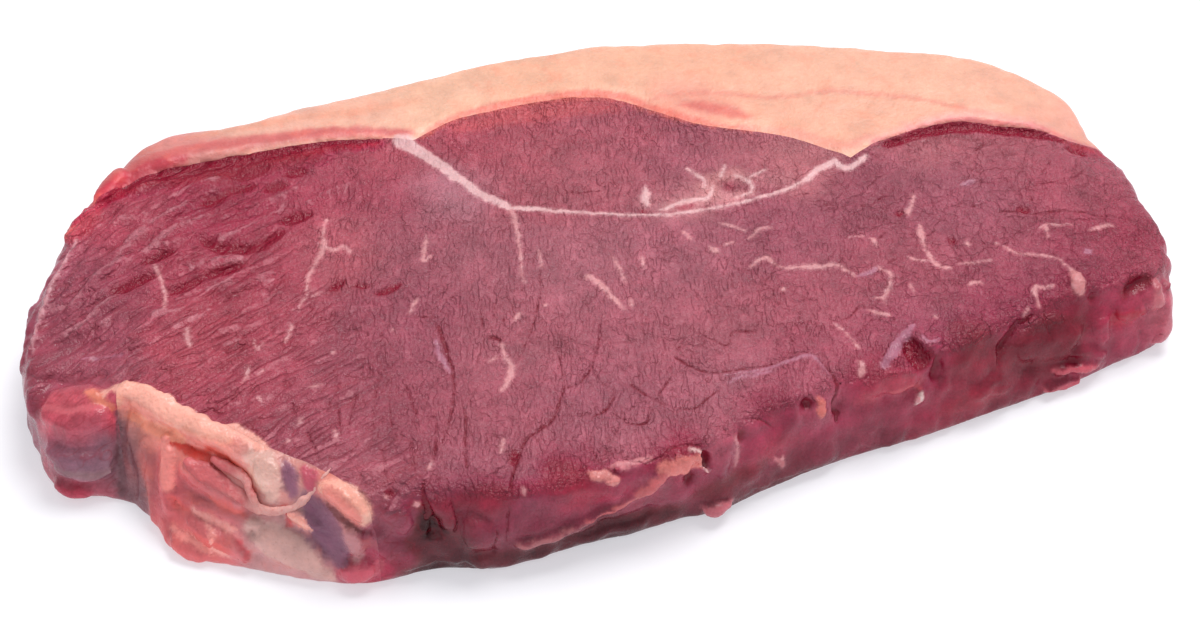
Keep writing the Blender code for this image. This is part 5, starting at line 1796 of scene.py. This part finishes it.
def prism(name, loop):
    """A hidden upright body over a loop."""
    bm = bmesh.new()
    base = [bm.verts.new((x * MM, y * MM, PRISM_FOOT)) for x, y in loop]
    face = bm.faces.new(base)
    grown = bmesh.ops.extrude_face_region(bm, geom=[face])
    lifted = [v for v in grown["geom"] if isinstance(v, bmesh.types.BMVert)]
    bmesh.ops.translate(bm, verts=lifted, vec=(0.0, 0.0, PRISM_HEIGHT))
    bmesh.ops.triangulate(bm, faces=bm.faces[:])
    bmesh.ops.recalc_face_normals(bm, faces=bm.faces[:])
    return object_from(name, bm)


def carried_over(source, tree, cut):
    """Gives the vertices that a cut has made what the skin stores at their place."""
    fresh = np.flatnonzero(field_of(cut, "whole") < STORED_WHOLE)
    names = [a.name for a in source.attributes if a.domain == "POINT" and a.name in STORED]
    values = {name: field_of(source, name) for name in names}
    new_values = {name: field_of(cut, name) for name in names}
    for index in fresh:
        place, _, face, _ = tree.find_nearest(cut.vertices[index].co)
        corners = np.array(source.polygons[face].vertices)
        spans = [(source.vertices[corner].co - place).length for corner in corners]
        shares = 1.0 / (np.array(spans) + TOUCHING)
        shares /= shares.sum()
        for name in names:
            new_values[name][index] = shares @ values[name][corners]
    for name in names:
        fill(cut, name, new_values[name])
    return len(fresh)


tree = BVHTree.FromPolygons(
    [vert.co for vert in skin.data.vertices], [face.vertices[:] for face in skin.data.polygons]
)
tissues = {}
for name, parts in LOOPS.items():
    cutter = prism("cutter", np.vstack([np.array(part, float) for part in parts]))
    piece = bpy.data.objects.new(name + "_skin", skin.data.copy())
    bpy.context.scene.collection.objects.link(piece)
    cut = cut_with(piece, cutter, "INTERSECT")
    fresh = carried_over(skin.data, tree, cut)
    tissues[name] = piece
    bm = bmesh.new()
    bm.from_mesh(cut)
    open_edges = sum(not edge.is_manifold for edge in bm.edges)
    volume = bm.calc_volume() / MM**3 / 1000.0
    bm.free()
    triangles = sum(len(face.vertices) - 2 for face in cut.polygons)
    print(f"{name}: {triangles} triangles, {fresh} new vertices, {open_edges} open, {volume:.1f} cm3")
bpy.data.objects.remove(skin)

# %% [markdown]
# ## Finishes
#
# Muscle is bundles of fibre cut across: fine streaks along the bundles, a crackle of tiny dark
# gaps where they part, and a wet film over all of it. Fat is smoother and scatters more light.
# Both start from the colours stored on the skin; the marks are thresholds of the stored depths,
# roughened with a little noise so that no edge is ruled. On the muscle, painted highlights lie on
# the crests and ridges of the folds, and a deeper red painted shade lies in their valleys and hollows.

# %% Muscle
LEFT_ANGLE = 30.0
LEFT_SIZES = (9.0, 2.2, 3.0)
CENTRE_ANGLE = 84.0
CENTRE_SIZES = (3.2, 1.2, 2.4)
GRAIN_SIZE = 0.6
WOBBLE_SIZE = 1.6
BEND_SIZE = 2.4
BEND = 3.0
PLATE_SIZE = 3.4
BUNDLE_SIZE = 8.5
# painted shade, a deeper red, for the valleys of the folds
VALLEY_SHADE = (158, 44, 70)
GAP_RED = (122, 28, 56)
# painted highlight for the crests of the streaks
CREST_HIGHLIGHT = (222, 152, 160)
# painted highlight for the ridges of the folds
RIDGE_HIGHLIGHT = (212, 150, 158)
# painted shade, a deep red, for the hollows
HOLLOW_SHADE = (148, 34, 70)
CRACK_RIM = (136, 44, 68)
CRACK_RED = (132, 20, 54)
MUSCLE_FILM = {
    "IOR": 1.34,
    "Subsurface Weight": 0.1,
    "Subsurface Radius": (2.2, 0.7, 0.5),
    "Subsurface Scale": MM,
}


def lit(shown, level=MUSCLE_LIGHT[1]):
    """A colour as it should look under these lamps, as the surface colour that does it."""
    return (*map(float, under_light(shown, level)), 1.0)


def finish_name(base):
    return base + "_finish"


def muscle_finish(name):
    material, wire = new_material(finish_name(name))
    here = wire.millimetres()
    left = wire.attribute("left_lay")
    crackle = wire.attribute("crackle")
    fibre = wire.attribute("fibre")
    rough = wire.attribute("rough")
    cut = wire.attribute("cut")
    along_left = here.turned(LEFT_ANGLE, LEFT_SIZES).noise(1.0, 1.0, 0.4)
    along_centre = here.turned(CENTRE_ANGLE, CENTRE_SIZES).noise(1.0, 1.0, 0.4)
    streak = along_centre + left * (along_left - along_centre) - 0.5
    grain = here.noise(GRAIN_SIZE, 2.0, 0.65) - 0.5
    wobble = here.noise(WOBBLE_SIZE, 2.0, 0.65) - 0.5
    bent = here.shifted(here.noise(BEND_SIZE, 1.0, 0.6, out=1).scaled(BEND))
    plates = bent.cells(PLATE_SIZE)
    plate_gap = (1.0 - plates.step(0.0, 0.04)) * rough
    bundle_gap = 1.0 - (bent.cells(BUNDLE_SIZE) + wobble * 0.05).step(0.0, 0.022)
    bundle_gap = bundle_gap * (1.0 - left * 0.85) * (0.3 + 0.7 * crackle) * (1.0 - rough)
    hollow = (wire.attribute("hollow") + wobble * 0.7).step(-0.7, 0.4)
    valley = 1.0 - streak.size().step(0.0, 0.05)
    crease = 1.0 - (streak + grain * 0.07).size().step(0.0, 0.016)
    crinkle = 1.0 - wobble.size().step(0.0, 0.02)
    dark = plate_gap * crackle * 0.55 + bundle_gap * 0.5 + crease * rough * (0.14 + 0.3 * fibre)
    dark = dark + crinkle * (0.1 + 0.14 * rough)
    dark = dark * (0.06 + 0.94 * cut) * (1.0 - hollow * 0.8)
    value = 1.0 + streak * (0.08 + 0.2 * fibre) + grain * 0.6 + wobble * 0.26
    colour = wire.attribute("tone", out=0).scaled(value)
    # painted shade: a deeper red in the valleys of the streaks
    colour = colour.tint(valley * (0.12 * fibre + 0.2 * left), lit(VALLEY_SHADE))
    colour = colour.tint(dark, lit(GAP_RED))
    # painted highlights on the crests of the streaks
    crest_highlight = (streak + wobble * 0.8).step(0.14, 0.26) * cut
    colour = colour.tint(crest_highlight * (0.08 + 0.2 * left), lit(CREST_HIGHLIGHT))
    # painted highlights along the ridges of the folds
    ridge = (wire.attribute("ridge") + wobble * 4.0 + streak * 5.0).step(-0.2, 1.0)
    colour = colour.tint(ridge * 0.34, lit(RIDGE_HIGHLIGHT))
    # deep red painted shade in the hollows
    colour = colour.tint(hollow * 0.9, lit(HOLLOW_SHADE))
    crack = wire.attribute("crack") + wobble * 0.9
    colour = colour.tint(crack.step(-0.5, 0.2) * 0.2, lit(CRACK_RIM))
    colour = colour.tint(crack.step(0.0, 0.2) * 0.75, lit(CRACK_RED))
    over = wire.attribute("over") + wobble * 1.3 + grain * 0.5
    over_tone = wire.attribute("over_tone", out=0).scaled(0.5 + 0.5 * value)
    colour = colour.tint(over.step(-0.6, 0.2) * 0.3, over_tone)
    colour = colour.tint(over.step(-0.1, 0.5) * 0.75, over_tone)
    height = streak.size().step(0.0, 0.16) * (0.04 + 0.14 * fibre + 0.2 * left)
    height = (height + plates.step(0.0, 0.16) * crackle * 0.22 - bundle_gap * 0.14) * cut
    height = height + (grain * 0.44 + wobble * 0.3 - crease * rough * 0.14) * (0.25 + 0.75 * cut)
    height = height * (1.0 - over.step(-0.4, 0.3) * 0.6)
    height = height - crack.step(-0.2, 0.3) * 0.2
    surface(wire, {
        **MUSCLE_FILM,
        "Base Color": colour,
        "Roughness": 0.34 + wobble * 0.4 - hollow * 0.14 - (1.0 - cut) * 0.06 - left * 0.06,
        "Normal": height.bump(),
    })
    return material


# %% Fat
CLOUD_SIZE = 4.0
FAT_GRAIN = 0.9
BLUSH = (244, 132, 106)
FAT_CRACK = (206, 110, 100)
FAT_FILM = {
    "IOR": 1.4,
    "Subsurface Weight": 0.2,
    "Subsurface Radius": (3.0, 1.6, 1.1),
    "Subsurface Scale": MM,
}


def fat_finish(name, wet):
    material, wire = new_material(finish_name(name))
    here = wire.millimetres()
    cloud = here.noise(CLOUD_SIZE, 3.0, 0.6)
    grain = here.noise(FAT_GRAIN, 2.0, 0.6)
    wobble = grain - 0.5
    value = 1.0 + (cloud - 0.5) * 0.2 + wobble * 0.24
    colour = wire.attribute("fat_tone", out=0).scaled(value)
    blush = cloud.step(0.5, 0.7)
    colour = colour.tint(blush * 0.22, lit(BLUSH))
    crack = wire.attribute("crack") + wobble * 0.5
    colour = colour.tint(crack.step(-0.4, 0.3) * 0.5, lit(FAT_CRACK))
    over = wire.attribute("over") + wobble * 1.2 + (cloud - 0.5) * 2.4
    over_tone = wire.attribute("fat_over_tone", out=0).scaled(value)
    colour = colour.tint(over.step(-0.9, 0.1) * 0.4, over_tone)
    colour = colour.tint(over.step(-0.3, 0.5) * 0.7, over_tone)
    height = cloud * (0.4 + 0.5 * wet) + grain * 0.16
    surface(wire, {
        **FAT_FILM,
        "Base Color": colour,
        "Roughness": 0.45 - 0.14 * wet + wobble * 0.2,
        "Normal": height.bump(),
    })
    return material


FINISHES = {
    "lean": muscle_finish("lean_muscle"),
    "cap_muscle": muscle_finish("cap_muscle"),
    "fat_cap": fat_finish("back_fat", 0.0),
    "front_fat": fat_finish("corner_fat", 1.0),
}
print("finishes:", list(FINISHES))

# %% Hand each tissue over
SHARP_ANGLE = 60.0
for name, piece in tissues.items():
    body = piece.data
    body.materials.clear()
    body.materials.append(FINISHES[name])
    body.shade_smooth()
    body.set_sharp_from_angle(angle=math.radians(SHARP_ANGLE))
    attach(piece, "root")
    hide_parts(name)
print("tissues handed over:", list(tissues))

# %% A loose strand over the corner fat
STRAND_ROUTES = [
    ((2.6, 4.2, 4.0, 3.0, 2.2, 1.8, 1.5, 1.2, 0.5), (
        (-85, -40.6, 16.6), (-81, -43.6, 15.4), (-77, -46.4, 14.2), (-74, -49.2, 13.2), (-70.5, -51.6, 12.8),
        (-66, -53.2, 14), (-62.5, -53.4, 17.2), (-59.4, -52.2, 20.2), (-57.4, -51, 22),
    )),
    ((1.6, 2.4, 2.2, 1.8, 1.2), (
        (-80, -41.8, 17.6), (-76.5, -44.2, 17), (-73.8, -46.6, 16.4), (-73, -49, 15.2), (-72, -50.8, 13.6),
    )),
]
STRAND_LIFT = 0.4
STRAND_THICKNESS = 1.3
STRAND_VOXEL = 0.3
STRAND_CLOUD = 3.0
STRAND_GRAIN = 0.7
STRAND_TURN = (-84.0, -64.0)  # from its pink head to its pale tail
STRAND_PINK = (208, 112, 114)
STRAND_PALE = (240, 178, 170)
STRAND_ROSY = (214, 96, 96)

strand_bm = bmesh.new()
for widths, points in STRAND_ROUTES:
    route = smooth_route(points, ROUTE_STEP)
    outward = []
    for place in route * MM:
        nearest, normal, _, _ = tree.find_nearest(Vector(place))
        outward.append(normal)
    outward = soft_directions(np.array(outward))
    tube(strand_bm, route + STRAND_LIFT * outward, outward, widths, STRAND_THICKNESS)
bmesh.ops.recalc_face_normals(strand_bm, faces=strand_bm.faces[:])
strand = object_from("loose_strand", strand_bm)
strand_mesh = remeshed(strand, STRAND_VOXEL)
smooth(strand_mesh, FINE_PASSES)
places = vertex_array(strand_mesh) / MM
places += vertex_array(strand_mesh, "normal") * layered(places, "strand ripple")[:, None]
set_vertices(strand_mesh, places * MM)

material, wire = new_material(finish_name("strand"))
here = wire.millimetres()
cloud = here.noise(STRAND_CLOUD, 3.0, 0.6)
grain = here.noise(STRAND_GRAIN, 2.0, 0.6)
pink, pale, rosy = (lit(c, CORNER_LIGHT[1]) for c in (STRAND_PINK, STRAND_PALE, STRAND_ROSY))
tail = wire.add("ShaderNodeSeparateXYZ", {}, {0: here}).step(*STRAND_TURN)
mix = {0: (tail + cloud - 0.5).step(0.1, 0.9), 6: pink, 7: pale}
colour = wire.add("ShaderNodeMix", {"data_type": "RGBA"}, mix, out=2)
surface(wire, {
    **FAT_FILM,
    "Base Color": colour.tint(grain.step(0.5, 0.8) * 0.3, rosy),
    "Roughness": 0.3 + grain * 0.2,
    "Normal": (cloud * 0.5 + grain * 0.2).bump(),
})
strand.data.materials.append(material)
strand.data.shade_smooth()
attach(strand, "root")
print("strand:", len(strand.data.polygons), "faces")
